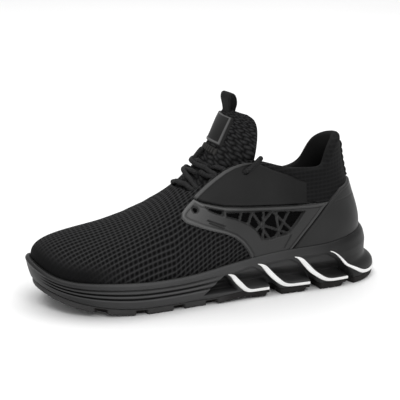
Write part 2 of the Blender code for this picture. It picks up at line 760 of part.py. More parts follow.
def cut_eyelets(panel, eyelets, sign):
    """Round lace holes, square to the upper."""
    angles = [2 * math.pi * (step + 0.5) / 8 for step in range(8)]
    circle = [(EYELET_RADIUS * math.cos(angle), EYELET_RADIUS * math.sin(angle)) for angle in angles]
    for number, (x, z) in enumerate(eyelets):
        corners = [(x * MM + along, z * MM + up) for along, up in circle]
        cut(panel, add_prism(f"{panel.name}_eyelet_{number}", corners, *side_span(sign), panel.parent))


def add_panel(name, corners, span, sign, material, parent):
    """Moulded panel: the skin over the upper inside a side-view outline, on one side or, with 0, on both."""
    panel = add_shell(name, span, CAGE_THICK, material, parent)
    reach = side_span(sign) if sign else (-90 * MM, 90 * MM)
    cut(panel, add_prism(f"{name}_outline", scaled(corners), *reach, parent), "INTERSECT")
    return panel


def make_panels(parent):
    """Cages with their webs, the smooth wing, the heel counter and the strip up the back of the collar."""
    cage = finish("cage", CHARCOAL, 0.45)
    outer = add_panel("outer_cage", OUTER_CAGE, (0.14, 0.40), 1, cage, parent)
    cut_window(outer, OUTER_WINDOW, OUTER_STRUTS, 1)
    cut(outer, add_prism("outer_cage_pocket", scaled(OUTER_POCKET), *side_span(1), parent))
    cut_eyelets(outer, OUTER_EYELETS[1:], 1)
    wing = add_panel("outer_wing", OUTER_WING, (0.17, 0.41), 1, finish("wing", BLACK_FOAM, 0.4), parent)
    cut_eyelets(wing, OUTER_EYELETS[:1], 1)
    inner = add_panel("inner_cage", INNER_CAGE, (0.59, 0.86), -1, cage, parent)
    cut_window(inner, INNER_WINDOW, INNER_STRUTS, -1)
    cut_eyelets(inner, INNER_EYELETS, -1)
    add_panel("heel_counter", COUNTER, (0.30, 0.70), 0, finish("counter", CHARCOAL, 0.4), parent)
    strip = add_shell("heel_strip", (0.45, 0.55), 1 * MM, finish("heel strip", BLACK_KNIT, 0.7), parent)
    half = HEEL_STRIP_WIDTH / 2
    cut(strip, add_prism("heel_strip_outline", scaled(HEEL_STRIP), -half, half, parent), "INTERSECT")


def side_share(turn, height):
    """Share of the sole's side at which it stands that high."""
    low = ground(outline(turn)[..., 0]) + TREAD + GAP
    return (height - low) / (rim_height(turn) - low)


def add_stripe(name, leaf, turn, lift, material, parent):
    """Inlay along a leaf's upper edge: wide on its slope, narrow on its foot, just off the sole's side."""
    along = outline(turn)[:, 0]
    middle = leaf_top(leaf, along) - 0.8 * MM
    slope = np.abs(leaf_top(leaf, along + 1 * MM) - leaf_top(leaf, along - 1 * MM)) / (2 * MM)
    width = STRIPE_NARROW + (STRIPE_WIDE - STRIPE_NARROW) * ease(slope, 0.1, 0.7)
    half = width / 2 * np.sqrt(1 + slope**2)
    far, near = [], []
    for edge in (-1, 1):
        share = side_share(turn, middle + edge * half)
        far.append(side_ring(turn, share, lift + STRIPE_THICK))
        near.append(side_ring(turn, share, lift))
    return slab(name, np.stack(far, 1), np.stack(near, 1), material, parent)


def make_stripes(parent):
    """White inlays: one on each side of the three front leaves, and one right round the last leaf."""
    white = finish("white stripe", WHITE, 0.35)
    for number, leaf in enumerate(LEAVES[:3], 1):
        along = np.linspace(leaf[0] - 1, leaf[3] + 1, 10) * MM
        turn = turn_at(along)
        add_stripe(f"stripe_outer_{number}", leaf, turn, TRIM_GAP, white, parent)
        add_stripe(f"stripe_inner_{number}", leaf, 1 - turn, TRIM_GAP, white, parent)
    start = float(turn_at((LEAVES[3][0] - 1) * MM))
    add_stripe("stripe_heel", LEAVES[3], np.linspace(start, 1 - start, 24), 2 * TRIM_GAP, white, parent)


def over_upper(turn, rise, lift):
    """One point over the upper, lifted along its normal."""
    return offset_upper(np.array([turn]), np.array([rise]), np.array([lift]))[0]


def edge_turn(distance, sign):
    """Turn at which the opening's edge is that far from the heel."""
    turn = np.linspace(0.02, 0.4, 400)
    turn = turn if sign > 0 else 1 - turn
    edge = upper_point(turn, np.ones(400))[:, 0]
    return turn[np.abs(edge - distance).argmin()]


def over_tongue(along, across, lift):
    """Point over the tongue's face."""
    return tongue_point(np.array([along]), np.array([across]), np.array([-lift]))[0]


def lace_clearance():
    """Points over the tongue and the panels that the middle of a lace keeps away from."""
    turn, rise = np.meshgrid(np.linspace(0.1, 0.36, 131), np.linspace(0.4, 1, 31), indexing="ij")
    lift = np.full(turn.shape, TRIM_GAP + CAGE_THICK)
    sides = [offset_upper(place, rise, lift).reshape(-1, 3) for place in (turn, 1 - turn)]
    along, across = np.meshgrid(np.linspace(0.1, 0.7, 121), np.linspace(-1, 1, 61), indexing="ij")
    tongue = tongue_point(along, across, np.zeros(along.shape)).reshape(-1, 3)
    return np.concatenate(sides + [tongue])


def push_clear(path, points, clear):
    """Move each point of a path away from the nearest of the points, until it is clear of them all."""
    for _ in range(8):
        away = path[:, None] - points[None]
        distance = np.linalg.norm(away, axis=-1)
        nearest = distance.argmin(axis=1)
        row = np.arange(len(path))
        short = np.maximum(clear - distance[row, nearest], 0) / distance[row, nearest]
        path = path + away[row, nearest] * short[:, None]
    return path


def half_lace(sign, row, other, crossing):
    """Way of a lace from the middle of the tongue over the edge of the upper to its stop on one side."""
    clear = LACE_RADIUS + LACE_CLEAR
    upward = 1 if other < row else -1
    slant = LACE_SLANT * np.sign(other - row)
    x, z = (OUTER_LACE_ENDS if sign > 0 else INNER_LACE_ENDS)[row]
    turn, rise = upper_at((x + upward * LACE_SPREAD[0], z + upward * LACE_SPREAD[1]), sign)
    lift = TRIM_GAP + CAGE_THICK + clear
    near = over_tongue(crossing + slant, 0.32 * sign, clear)
    end = over_upper(turn, rise, lift)
    edge = edge_turn(end[0] + (near[0] - end[0]) * 0.45, sign)
    return [near, over_upper(edge, 1.0, lift), over_upper((turn + edge) / 2, (1 + rise) / 2, lift), end]


def tuck(sign):
    """Lace end from its top stop up over the edge of the upper."""
    turn, _ = upper_at((OUTER_LACE_ENDS if sign > 0 else INNER_LACE_ENDS)[0], sign)
    turn += sign * 0.012
    thick = float(wall(turn, 1.0))
    lift = TRIM_GAP + CAGE_THICK + LACE_RADIUS + LACE_CLEAR
    over = over_upper(turn, 1.0, 0.0) + (0, 0, thick / 2 + LACE_RADIUS + 2 * LACE_CLEAR)
    return [over_upper(turn, 0.96, lift), over_upper(turn, 1.0, lift) + (0, 0, LACE_RADIUS), over]


def lace_path(run, lift):
    """Path of one run of the lace from stop to stop, with a tucked end at each top stop."""
    path = tuck(run[0][0])[::-1] if run[0][1] == 0 else []
    for (side, row), (next_side, next_row) in zip(run, run[1:]):
        crossing = LACE_CROSSINGS[min(row, next_row) if row != next_row else -1]
        path += half_lace(side, row, next_row, crossing)[::-1]
        path.append(over_tongue(crossing, 0, LACE_RADIUS + LACE_CLEAR + lift))
        path += half_lace(next_side, next_row, row, crossing)
    if run[-1][1] == 0:
        path += tuck(run[-1][0])
    return push_clear(np.array(path), lace_clearance(), LACE_RADIUS + LACE_CLEAR)


def add_tube(name, path, radius, material, parent):
    """Round cord along a path, with flat ends."""
    sides = 6
    along = np.gradient(path, axis=0)
    along /= np.linalg.norm(along, axis=1, keepdims=True)
    level = np.cross(along, (1, 0, 0.4))
    level /= np.linalg.norm(level, axis=1, keepdims=True)
    up = np.cross(level, along)
    angle = 2 * math.pi * np.arange(sides) / sides
    spokes = np.cos(angle)[:, None] * level[:, None] + np.sin(angle)[:, None] * up[:, None]
    rings = path[:, None] + radius * spokes
    faces = [tuple(range(sides)), tuple(range((len(path) - 1) * sides, len(path) * sides))]
    for row in range(len(path) - 1):
        for side in range(sides):
            beside = (side + 1) % sides
            a = row * sides
            faces.append((a + side, a + beside, a + sides + beside, a + sides + side))
    return add_piece(name, rings.reshape(-1, 3), faces, material, parent)


def make_laces(parent):
    """Laces as one joined solid: two runs from the tucked ends down to the bar, joined where they cross."""
    first, second = LACE_RUNS
    low, high = 0.8 * MM, 3.4 * MM
    laces = add_tube("laces", lace_path(first, low), LACE_RADIUS, finish("lace", BLACK_KNIT, 0.6), parent)
    cut(laces, hide(add_tube("lace_run", lace_path(second, high), LACE_RADIUS, None, parent)), "UNION")


def tongue_patch(name, span, rows, thick, material, parent):
    """Flat trim that lies on the tongue."""
    along = np.linspace(span[0], span[1], rows)
    across = np.linspace(-span[2], span[2], 7)
    along, across = np.meshgrid(along, across, indexing="ij")
    far = tongue_point(along, across, np.full(along.shape, -TRIM_GAP - thick))
    near = tongue_point(along, across, np.full(along.shape, -TRIM_GAP))
    return slab(name, far, near, material, parent)


def make_trim(parent):
    """Bare label, lace keeper and pull loop of the tongue."""
    tongue_patch("tongue_label", LABEL_SPAN, 3, 0.8 * MM, finish("label", BLACK_RUBBER, 0.5), parent)
    tongue_patch("lace_keeper", KEEPER_SPAN, 2, 1.2 * MM, finish("keeper", BLACK_KNIT, 0.7), parent)
    path = np.array(scaled(LOOP_PATH))
    along = np.gradient(path, axis=0)
    along /= np.linalg.norm(along, axis=1, keepdims=True)
    side = np.stack([-along[:, 1], along[:, 0]], -1) * LOOP_THICK / 2
    faces_out, faces_in = [], []
    middle = path[:, 0].mean()
    for reach in (-LOOP_WIDTH / 2, LOOP_WIDTH / 2):
        for skin, sign in ((faces_out, -1), (faces_in, 1)):
            plan = path + sign * side
            ahead = plan[:, 0] - middle
            x = middle + ahead * math.cos(LOOP_TURN) - reach * math.sin(LOOP_TURN)
            y = ahead * math.sin(LOOP_TURN) + reach * math.cos(LOOP_TURN)
            skin.append(np.stack([x, y, plan[:, 1]], -1))
    slab("pull_loop", np.stack(faces_out, 1), np.stack(faces_in, 1), finish("loop", BLACK_KNIT, 0.8), parent)


def main():
    clear_scene()
    shoe = bpy.data.objects.new("shoe", None)
    bpy.context.scene.collection.objects.link(shoe)
    sides = np.concatenate([side_ring(all_turns(), row[0]) for row in SIDE])
    middle = (sides.max(axis=0) + sides.min(axis=0)) / 2
    shoe.location = (-middle[0], -middle[1], 0)
    hollows, pockets = make_hollow_cutters(shoe)
    make_outsole(shoe, hollows)
    make_midsole(shoe, hollows + pockets)
    make_upper(shoe)
    make_insole(shoe)
    make_tongue(shoe)
    make_panels(shoe)
    make_stripes(shoe)
    make_laces(shoe)
    make_trim(shoe)


main()
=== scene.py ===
"""Finish of the low safety shoe for the left foot: knit, moulded panels, sole, laces, studio and camera.

Frame: +X to the toe, +Y to the outer (lateral) side, +Z up. While a piece is worked out, x runs from 0 at
the back of the heel to SOLE_LENGTH at the toe, and ORIGIN is the point that lies at the row's origin. A
place on the shoe is a turn round it (0 at the toe, 0.25 on the outer side, 0.5 at the heel and 0.75 on the
inner side) and a share of the way up.
"""

import math

import bpy
import numpy as np
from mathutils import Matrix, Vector


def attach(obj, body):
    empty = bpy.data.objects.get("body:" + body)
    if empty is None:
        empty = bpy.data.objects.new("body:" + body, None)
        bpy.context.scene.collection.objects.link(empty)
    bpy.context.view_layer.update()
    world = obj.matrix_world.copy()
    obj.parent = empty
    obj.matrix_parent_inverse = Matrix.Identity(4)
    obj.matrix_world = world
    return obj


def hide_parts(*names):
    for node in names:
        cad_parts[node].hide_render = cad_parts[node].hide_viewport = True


MM = 0.001
ORIGIN = np.array((149.6, 1.885, 0)) * MM

# Driving dimensions
SOLE_LENGTH = 302 * MM
GAP = 0.35 * MM
RIM = 4 * MM
INSOLE_THICK = 4 * MM
KNIT = 2.5 * MM
COLLAR_PAD = 8 * MM
TRIM_GAP = 0.5 * MM

# Line of the tread: lift and start of the toe's spring, lift and length of the heel's bevel, and lift, middle
# and half length of the arch
TOE_SPRING = 15.5 * MM
TOE_SPRING_START = 214 * MM
HEEL_BEVEL = 1.5 * MM
HEEL_BEVEL_LENGTH = 26 * MM
ARCH_RISE = 2.5 * MM
ARCH_MIDDLE = 134 * MM
ARCH_HALF = 30 * MM

# Fineness of the grids: points round the shoe, rows, and steps across a cap
UPPER_COLUMNS = 700
UPPER_ROWS = 112
ROLL_ROWS = 6
LINING_ROWS = 12
SOLE_COLUMNS = 900
SOLE_ROWS = 64
INSOLE_COLUMNS = 200
TONGUE_COLUMNS = 200
TONGUE_ROWS = 300
TRIM_POINTS = 81
STRIPE_COLUMNS = 9
STRIPE_STEPS = 90
HEEL_STRIPE_STEPS = 220
CAP_STEPS = 24
TREAD_STEPS = 48
CORD_STEPS = 2

# Sole outline: distance from the heel, reach to the outer and to the inner side of the centre line (mm)
OUTLINE = (
    (30, 36.5, 36.0),
    (60, 41.0, 39.0),
    (104, 42.5, 35.5),
    (136, 45.5, 34.5),
    (166, 50.0, 38.0),
    (196, 54.0, 45.0),
    (218, 55.3, 49.0),
    (242, 53.0, 51.5),
    (266, 45.5, 49.0),
    (284, 33.5, 41.5),
    (296, 16.5, 29.0),
)
TOE_TIP_Y = -7 * MM

# Heights along the sole: distance from the heel, top of the rim, and floor that the insole lies on (mm)
HEIGHTS = (
    (0, 47.0, 31.0),
    (20, 44.5, 31.0),
    (50, 40.5, 30.0),
    (90, 38.6, 28.0),
    (136, 34.0, 24.5),
    (180, 29.0, 20.0),
    (215, 28.5, 18.5),
    (250, 29.5, 19.5),
    (280, 31.0, 22.0),
    (292, 34.0, 24.0),
    (302, 39.5, 26.0),
)

# Side of the sole: share of the height, inset at the forefoot and at the heel, and set-back from the heel's
# outline, less than 0 where the last leaf reaches behind it (mm)
SIDE = (
    (0.00, 5.2, 1.0, -3.2),
    (0.08, 3.8, 0.6, -3.2),
    (0.20, 3.0, 0.3, -1.2),
    (0.28, 2.5, 0.3, 2.4),
    (0.34, 2.2, 0.4, 5.6),
    (0.395, 1.9, 0.6, 6.4),
    (0.45, 1.7, 0.9, 6.0),
    (0.515, 1.4, 1.1, 5.7),
    (0.57, 1.2, 0.9, 5.8),
    (0.625, 1.0, 0.6, 6.1),
    (0.69, 0.8, 0.2, 6.6),
    (0.745, 0.65, 0.2, 7.1),
    (0.80, 0.4, 0.2, 7.7),
    (0.93, 0.2, 0.6, 9.6),
    (1.00, 1.5, 1.6, 11.0),
)
HEEL_SET_BACK = SIDE[-1][3] * MM

# Distances from the heel between which the heel's inset turns into the forefoot's
FOREFOOT_BLEND = (140 * MM, 175 * MM)

# Grooves between the forefoot's ribs: share of the height and depth (mm), then their half width as a share,
# and the distances from the toe's tip between which they fade in
RIB_GROOVES = ((0.395, 1.9), (0.57, 1.9), (0.745, 1.1))
RIB_HALF = 0.062
RIB_TOE_FADE = (4 * MM, 16 * MM)

# Radial sections of the upper: turn, opening edge (distance from the heel, half width, height on the outer
# and on the inner side), cheek (rise and bulge above the rim), brow (run and drop before the edge) (mm)
SECTIONS = (
    (0.000, 179.5, 0.0, 90.5, 90.5, 28, 0.0, 40, 36),
    (0.060, 178.5, 7.0, 91.0, 90.0, 26, 0.0, 40, 35),
    (0.110, 176, 14.0, 91.0, 89.0, 21, 0.0, 38, 30),
    (0.170, 169.5, 22.0, 92.0, 88.5, 15, 0.5, 28, 22),
    (0.220, 155, 26.5, 101.5, 99.0, 18, 1.0, 14, 22),
    (0.255, 138, 28.5, 110.5, 105.5, 21, 1.0, 8, 25),
    (0.285, 120, 29.5, 113.0, 104.0, 23, 1.0, 4, 28),
    (0.320, 99, 31.5, 106.0, 95.0, 24, 1.0, 3, 30),
    (0.370, 75, 32.0, 101.5, 88.0, 26, 1.0, 1, 26),
    (0.420, 55, 30.0, 103.5, 95.0, 27, 0.5, 0, 26),
    (0.440, 50, 27.5, 109.5, 103.0, 27, 0.5, 0, 27),
    (0.460, 44, 22.5, 117.5, 114.0, 28, 0.5, 0, 28),
    (0.480, 36, 13.0, 122.5, 121.0, 28, -1.0, 1, 31),
    (0.500, 31, 0.0, 123.5, 123.5, 28, -1.5, 2, 34),
)

# Padded collar: turns from the back of the heel, and rises, between which its thickness grows
COLLAR_TURNS = (0.24, 0.17)
COLLAR_RISE = (0.45, 0.95)

# Spring leaves of the heel: start of the leaf under the band, its height, run of the slope, end of the foot
# and front corner of the foot, as distances from the heel (mm)
LEAVES = (
    (147.5, 26, 27, 108, 135),
    (120.5, 31, 36, 71, 97),
    (86.5, 33, 40, 36, 61),
    (52, 34, 44, 0, 28),
)
LEAF_FOOT = 9 * MM
LEAF_DEPTH = 16 * MM
LEAF_LIP = 1.2 * MM

# Hollows between the leaves: depth left at their top, heights where the full depth ends and the top starts,
# place of the band's lower edge against a leaf's start, softness of the shoulder under the band, and
# distances in that a shoulder lies between
HOLLOW_SKIN = 2.6 * MM
HOLLOW_DEEP = 12 * MM
HOLLOW_TOP = 25 * MM
BAND_DROP = 1 * MM
BAND_AHEAD = 5 * MM
BAND_SOFT = 0.35
HOLLOW_EDGE = (-0.2 * MM, 1.5 * MM)

# Pocket ahead of the first leaf: ends of its slanting front (mm), heights that it lies between, depth,
# distances in that its shoulder lies between, and the shoulder's softness
POCKET_FRONT = ((166, 11), (150, 25))
POCKET_LOW = 9.5 * MM
POCKET_TOP = 25.5 * MM
POCKET_DEPTH = 8 * MM
POCKET_EDGE = (-0.2 * MM, 1.2 * MM)
POCKET_SOFT = 0.6

# Tongue along its length: distance from the heel and height of the middle line, half width, and how far the
# edges fall back and down (mm); then its thickness, length, greatest half width and share of filling
TONGUE = (
    (206, 65, 12, 1, 3),
    (190, 75.5, 20, 5, 8),
    (171, 95, 25, 11, 15),
    (155, 115, 24, 26.5, 16),
    (144, 134, 25.5, 25.5, 8),
    (135.5, 148, 26, 17, 3.5),
    (130, 154, 20, 9.5, 1.5),
)
TONGUE_THICK = 6 * MM
TONGUE_LENGTH = 118 * MM
TONGUE_HALF = 26 * MM

# Tread: thickness, grooves across it (distance from the heel, mm), their form, and the fine cuts in the lugs
TREAD = 5.5 * MM
FOREFOOT_GROOVES = (155.5, 184.5, 216.5, 248.5)
HEEL_GROOVES = (31, 66, 102)
GROOVE_DEPTH = 3.5 * MM
GROOVE_WIDTH = 9 * MM
GROOVE_EDGE = 0.6 * MM
CHEVRON = 10 * MM
CHEVRON_HALF = 80 * MM
TREAD_CUT = 6 * MM
TREAD_CUT_DEPTH = 1 * MM

# Side of the tread from the floor up: inset (mm), share of its height, and 1 where it is notched; then the
# notches' depth, where they start, and the share of a groove's lift that they have
OUTSOLE_SIDE = ((1.2, 0.0, 1), (0.3, 0.16, 1), (0.0, 0.4, 1), (0.0, 0.78, 1), (0.0, 0.84, 0), (0.0, 1.0, 0))
NOTCH_DEPTH = 4.5 * MM
NOTCH_START = (145 * MM, 150 * MM)
NOTCH_LIFT = 0.1

# Panels over the upper: side-view corners as distance from the heel and height (mm)
OUTER_CAGE = (
    (182.5, 73.5), (181.5, 77), (178, 80.5), (170.5, 86.5),
    (165, 83.4), (148, 79.4), (129, 77.4), (102, 75.4), (71, 74), (53, 74.5),
    (58.2, 70.5), (67.2, 61), (77.2, 50.5), (88, 38), (88.5, 30),
    (124, 30), (125.5, 38), (128.5, 43.5), (133, 49.5), (139, 54.5), (147, 58.5), (165, 64.5),
    (179.5, 70.3),
)
OUTER_WING = (
    (170.3, 87.6), (160, 96), (152, 102.3), (144, 107.8), (137, 111.3), (130, 113.3), (122, 114.2),
    (116.5, 112.5), (103, 105.8), (90, 100.8), (79, 95.3), (69, 91), (66.5, 85), (66.5, 76), (71, 75.7),
    (102, 77.1), (129, 79.1), (148, 81.2), (165, 85.2),
)
INNER_CAGE = (
    (181, 68), (176, 73.5), (163, 86), (155, 92), (145, 98.5), (136, 103), (131, 105), (126, 105.8),
    (119, 103.5), (97, 91.5), (75, 83.5), (60, 80.5), (46, 80.5),
    (51.2, 77.5), (58.2, 70.5), (67.2, 61), (77.2, 50.5), (88, 38), (88.5, 30),
    (124, 30), (125, 36), (128, 42), (133, 47.5), (139, 51.5), (147, 55), (169, 61), (177, 64.5),
)
COUNTER = (
    (-5, 30), (-5, 87), (19, 87), (40, 83.5), (50, 77.5), (57, 70.5), (66, 61), (76, 50.5), (86.7, 38),
    (87, 30),
)

# Number of the wing's corners along its raised front edge, and the shaded gap between wing and cage (mm)
WING_FRONT = 7
WING_GAP = ((66, 74.7), (71, 74.8), (102, 76.2), (129, 78.2), (148, 80.2), (165, 84.2))

# Heel strip: lower and upper end, width, length of one rib, and heights of its base, rolls and ribs (mm)
STRIP_SPAN = (88, 119)
STRIP_WIDTH = 11
STRIP_RIB = 5.5
STRIP_BASE = 0.4
ROLL_HEIGHT = 0.9
RIB_HEIGHT = 0.7

# Windows of the cages, the struts across them from end to end, and their width (mm)
OUTER_POCKET = ((163.5, 81.6), (148, 77.4), (148, 72.6), (154, 74.4), (160, 77.4))
OUTER_WINDOW = (
    (145.8, 75.6), (113, 73), (75.5, 69.5), (85, 58), (91, 52), (100, 50.5), (108, 49), (115, 50),
    (120, 58), (126, 63), (137, 68.5), (145.8, 71.5),
)
OUTER_STRUTS = (
    (131, 77, 134.5, 66), (121.5, 75, 127.5, 61), (121.5, 72, 106, 47), (112, 75, 113.5, 47),
    (102.5, 74, 121, 56), (115, 62, 88, 51), (105, 73, 87, 54), (88, 73, 103, 48), (101, 74, 98.5, 48),
)
INNER_WINDOW = (
    (122, 95), (112, 91.5), (95, 84.5), (74, 76.2), (84, 63), (94, 54), (105, 50.5), (114, 48.5),
    (119, 53.5), (127, 60), (137, 63), (156, 67.5), (156.5, 70.5), (149, 79.5), (141, 85), (131, 91),
)
INNER_STRUTS = (
    (134, 93, 151, 63), (121, 98, 140, 60), (107, 93, 128, 57), (93, 86, 112, 46), (147, 85, 99, 49),
    (138, 90, 83, 60), (160, 68, 103, 90), (121, 53, 79, 80),
)
STRUT_WIDTH = 0.7

# Eyelets of the wing and the cages: side-view place and radius (mm), then the lift and half width of the ring
# round a hole, and how far out that ring reaches (mm)
OUTER_EYELETS = ((127, 106.3, 2.0), (171, 79, 2.7))
INNER_EYELETS = ((126, 100.5, 2.0), (142, 91.8, 2.0), (156.5, 82, 2.0), (169.5, 71.5, 2.0))
RING_LIFT = 0.35
RING_HALF = 1.1
RING_REACH = 2.4

# Relief of the panels over the knit (mm): height, root and base below the knit, share of the height of
# a strut, half width of the shoulder, and lift of the wing's edging
PANEL_TOP = 2.1
PANEL_ROOT = 0.7
PANEL_BASE = 1.0
STRUT_LOWER = 0.85
SHOULDER = 0.7
EDGING_LIFT = 0.9

# Moulded lines of the panels in side view (mm): the cage's slots and its notch, and the counter's seam
CAGE_SLOTS = ((162, 70.6, 148, 64.8), (160.5, 68.4, 149, 63.2))
CAGE_NOTCH = (89, 51, 95, 41)
COUNTER_SEAM = ((-5, 77), (20, 76), (47, 74))

# Sections of those lines: half width and depth; and of the grooves along the edges of a cage and the counter:
# distance in, half width and depth (mm)
SLOT_SECTION = (1.0, 1.4)
NOTCH_SECTION = (1.0, 0.7)
SEAM_SECTION = (0.9, 0.25)
CAGE_RIM = (2.8, 0.8, 0.6)
COUNTER_RIM = (2.6, 0.6, 0.25)

# Painted highlight along the cages' edges: distances in from the edge, and places along the shoe, that it
# grows between (mm), and its share along the edge at the back
HIGHLIGHT_EDGE = (2.4, 1.2)
HIGHLIGHT_SPAN = (120, 168)
HIGHLIGHT_BACK = 0.25

# Patch of the upper that the inner cage lies on: first and last turn, columns and rows of its grid
INNER_PATCH = (0.86, 0.59, 340, 170)

# Knit (mm): length of a cell and height of its row, relief, the line over the top of the shoe, and how far
# below it the rows start to go down
KNIT_PITCH = 3.9
KNIT_ROW = 3.4
KNIT_RELIEF = 0.12
TOP_LINE = (
    (302, 40), (290, 49), (270, 58), (240, 67), (192, 78.5), (176, 90), (156, 103), (138, 109), (0, 113),
)
TOP_EASE = 5

# Run of the knit (mm): climb of the rows on the sides, place that it starts from and distances out that it
# grows between; lean of the cells at the toe, places that it grows between and height without lean; distance
# out where the rows of the quarter start, and places between which they take over
ROW_CLIMB = 0.1
ROW_START = 240
ROW_SIDES = (12, 45)
CELL_LEAN = 0.6
CELL_TOE = (230, 290)
CELL_LEVEL = 60
QUARTER_OUT = 26
QUARTER_SPAN = (150, 120)

# Smooth cloth: its share at the toe, place along the shoe and height over the rim that it grows between (mm),
# then its share at the ankle, place and height
BARE_TOE = (0.95, (225, 265), (17, 6))
BARE_ANKLE = (0.75, (122, 96), (70, 78))

# Shade on the cloth behind openings (mm): distances in that it grows between, width round an eyelet and along
# the wing's edge, and how far the cloth is sunk there
SHADE_EDGE = (-0.8, 0.4)
SHADE_EYELET = 0.4
SHADE_GAP = 1.3
SHADE_SINK = 0.8

# Tongue's grains (mm): length, row and relief
DASH_LENGTH = 5
DASH_ROW = 2.5
DASH_RELIEF = 0.4

# Fine weaves: pitch (mm) and strands of the laces' braid, rib and weft of the webbing (mm), and grains of the
# plastics in a metre
BRAID_PITCH = 1.6
BRAID_STRANDS = 8
WEBBING_RIB = 1.7
WEBBING_WEFT = 0.7
PLASTIC_GRAIN = 1400

# Flexing creases over the vamp: distance from the heel, lean, depth and half reach across (mm); half width of
# their troughs, and the ridge behind each: distance, half width and share of the depth
VAMP_CREASES = ((205, 0.25, 0.5, 24), (219, 0.1, 0.35, 30))
CREASE_HALF = 3
RIDGE_BEHIND = 6
RIDGE_HALF = 4
RIDGE_SHARE = 0.5

# Laces (mm): each strand's place at the outer edge, crossing along the tongue, lift there and inner eyelet;
# tuck under the outer edge; lifts of the strand that runs up to the keeper; and the ways of the two ends
LACE_STRANDS = (
    ((143.5, 25.5, 108.3), 0.458, 0.3, 1),
    ((150.5, 25, 104.3), 0.446, 1.8, 0),
    ((152.5, 24.6, 102.4), 0.392, 0.3, 2),
    ((165, 22.2, 93), 0.378, 2.4, 1),
    ((167.5, 20.5, 91.3), 0.315, 0.4, 3),
)
LACE_TUCK = np.array((0, 2.5, -6)) * MM
LACE_RISE = (0.8, 1.0, 0.7, 0.2, -1.0)
LACE_ENDS = (
    ((129, 25.5, 104.5), (128.4, 30, 106), (125.5, 33.4, 108.3), (118.5, 31.5, 112.2), (110.8, 26.5, 116.4)),
    ((127.5, -25.5, 98.8), (126.6, -30.5, 100), (124.8, -34, 102), (118, -33, 105.8), (111, -28.5, 110)),
)
LACE_RADIUS = 2.15 * MM
LACE_SIDES = 14

# Stripes on the leaves: width on the slope and on the foot, thickness, root, and share that is a point
STRIPE_WIDE = 4.3 * MM
STRIPE_NARROW = 2.4 * MM
STRIPE_THICK = 0.8 * MM
STRIPE_ROOT = 0.6 * MM
STRIPE_POINT = 0.2

# Trim on the tongue: start and end along it and share of its half width; height of the edges, lift of the
# label and of its frame, place of the frame, lift of the keeper, and root in the tongue (mm)
LABEL_SPAN = (0.60, 0.84, 0.42)
KEEPER_SPAN = (0.54, 0.58, 0.38)
TRIM_EDGE = 0.2
LABEL_LIFT = 0.9
FRAME_LIFT = 0.45
FRAME_INSET = 1.6
KEEPER_LIFT = 1.4
TRIM_ROOT = 0.6

# Pull loop: way in side view from the tongue's front over to its back, length (mm), width, turn, thickness,
# then points along it and round its section
LOOP_PATH = (
    (132.6, 150.5), (133.3, 158), (133.5, 163.8), (132.4, 165.8), (130, 165.6), (127.6, 162), (126.6, 157),
    (128.2, 151),
)
LOOP_LENGTH = 40
LOOP_WIDTH = 15 * MM
LOOP_TURN = math.radians(10)
LOOP_THICK = 1.6 * MM
LOOP_STEPS = 70
LOOP_SIDES = 40

# Colours
KNIT_PIT = (0.0012, 0.0012, 0.0013)
KNIT_RIDGE = (0.055, 0.055, 0.056)
TONGUE_RIDGE = (0.042, 0.042, 0.043)
LINING_GREY = (0.016, 0.016, 0.016)
INSOLE_GREY = (0.016, 0.016, 0.018)
# CAGE_LIGHT and WING_LIGHT are the colours of the painted highlight on the cages and the wing
CAGE_DARK = (0.005, 0.005, 0.005)
CAGE_LIGHT = (0.105, 0.105, 0.105)
COUNTER_DARK = (0.015, 0.015, 0.015)
COUNTER_LIGHT = (0.022, 0.022, 0.022)
WING_DARK = (0.003, 0.003, 0.003)
WING_LIGHT = (0.080, 0.080, 0.080)
SOLE_DARK = (0.003, 0.003, 0.003)
SOLE_LIGHT = (0.080, 0.080, 0.081)
PAD_BROWN = (0.010, 0.0085, 0.008)
LACE_DARK = (0.004, 0.004, 0.004)
LACE_LIGHT = (0.046, 0.046, 0.047)
RIBBON_LIGHT = (0.016, 0.016, 0.016)
LABEL_DARK = (0.005, 0.005, 0.005)
FRAME_GREY = (0.11, 0.11, 0.11)
WEBBING_DARK = (0.003, 0.003, 0.003)
KEEPER_LIGHT = (0.045, 0.044, 0.042)
LOOP_LIGHT = (0.02, 0.02, 0.02)
STRIPE_DULL = (0.84, 0.84, 0.83)
STRIPE_WHITE = (0.93, 0.93, 0.93)
FLOOR_DULL = (0.86, 0.86, 0.86)
FLOOR_PALE = (0.9, 0.9, 0.9)

# Camera, from the photograph: lens and sensor (mm), place of the eye and the point that it aims at (mm)
CAMERA_LENS = 110
CAMERA_SENSOR = 36
CAMERA_EYE = (462.5, 929.5, 364.7)
CAMERA_AIM = (157, 5, 78)

# Studio: lamps by name with place, size (m) and power (W), the point that they face, strength of the
# surround, and reach of the floor (m)
LAMPS = (
    ("overhead", (0.0, -0.5, 2.2), 3.6, 62),
    ("front", (-0.1, 1.35, 1.4), 0.7, 9),
)
LAMP_AIM = (0, 0, 0.05)
SURROUND = 0.55
FLOOR_HALF = 6


def ease(value, start, end):
    """0 before start, 1 after end, and a smooth step between."""
    share = np.clip((np.asarray(value, float) - start) / (end - start), 0, 1)
    return share * share * (3 - 2 * share)


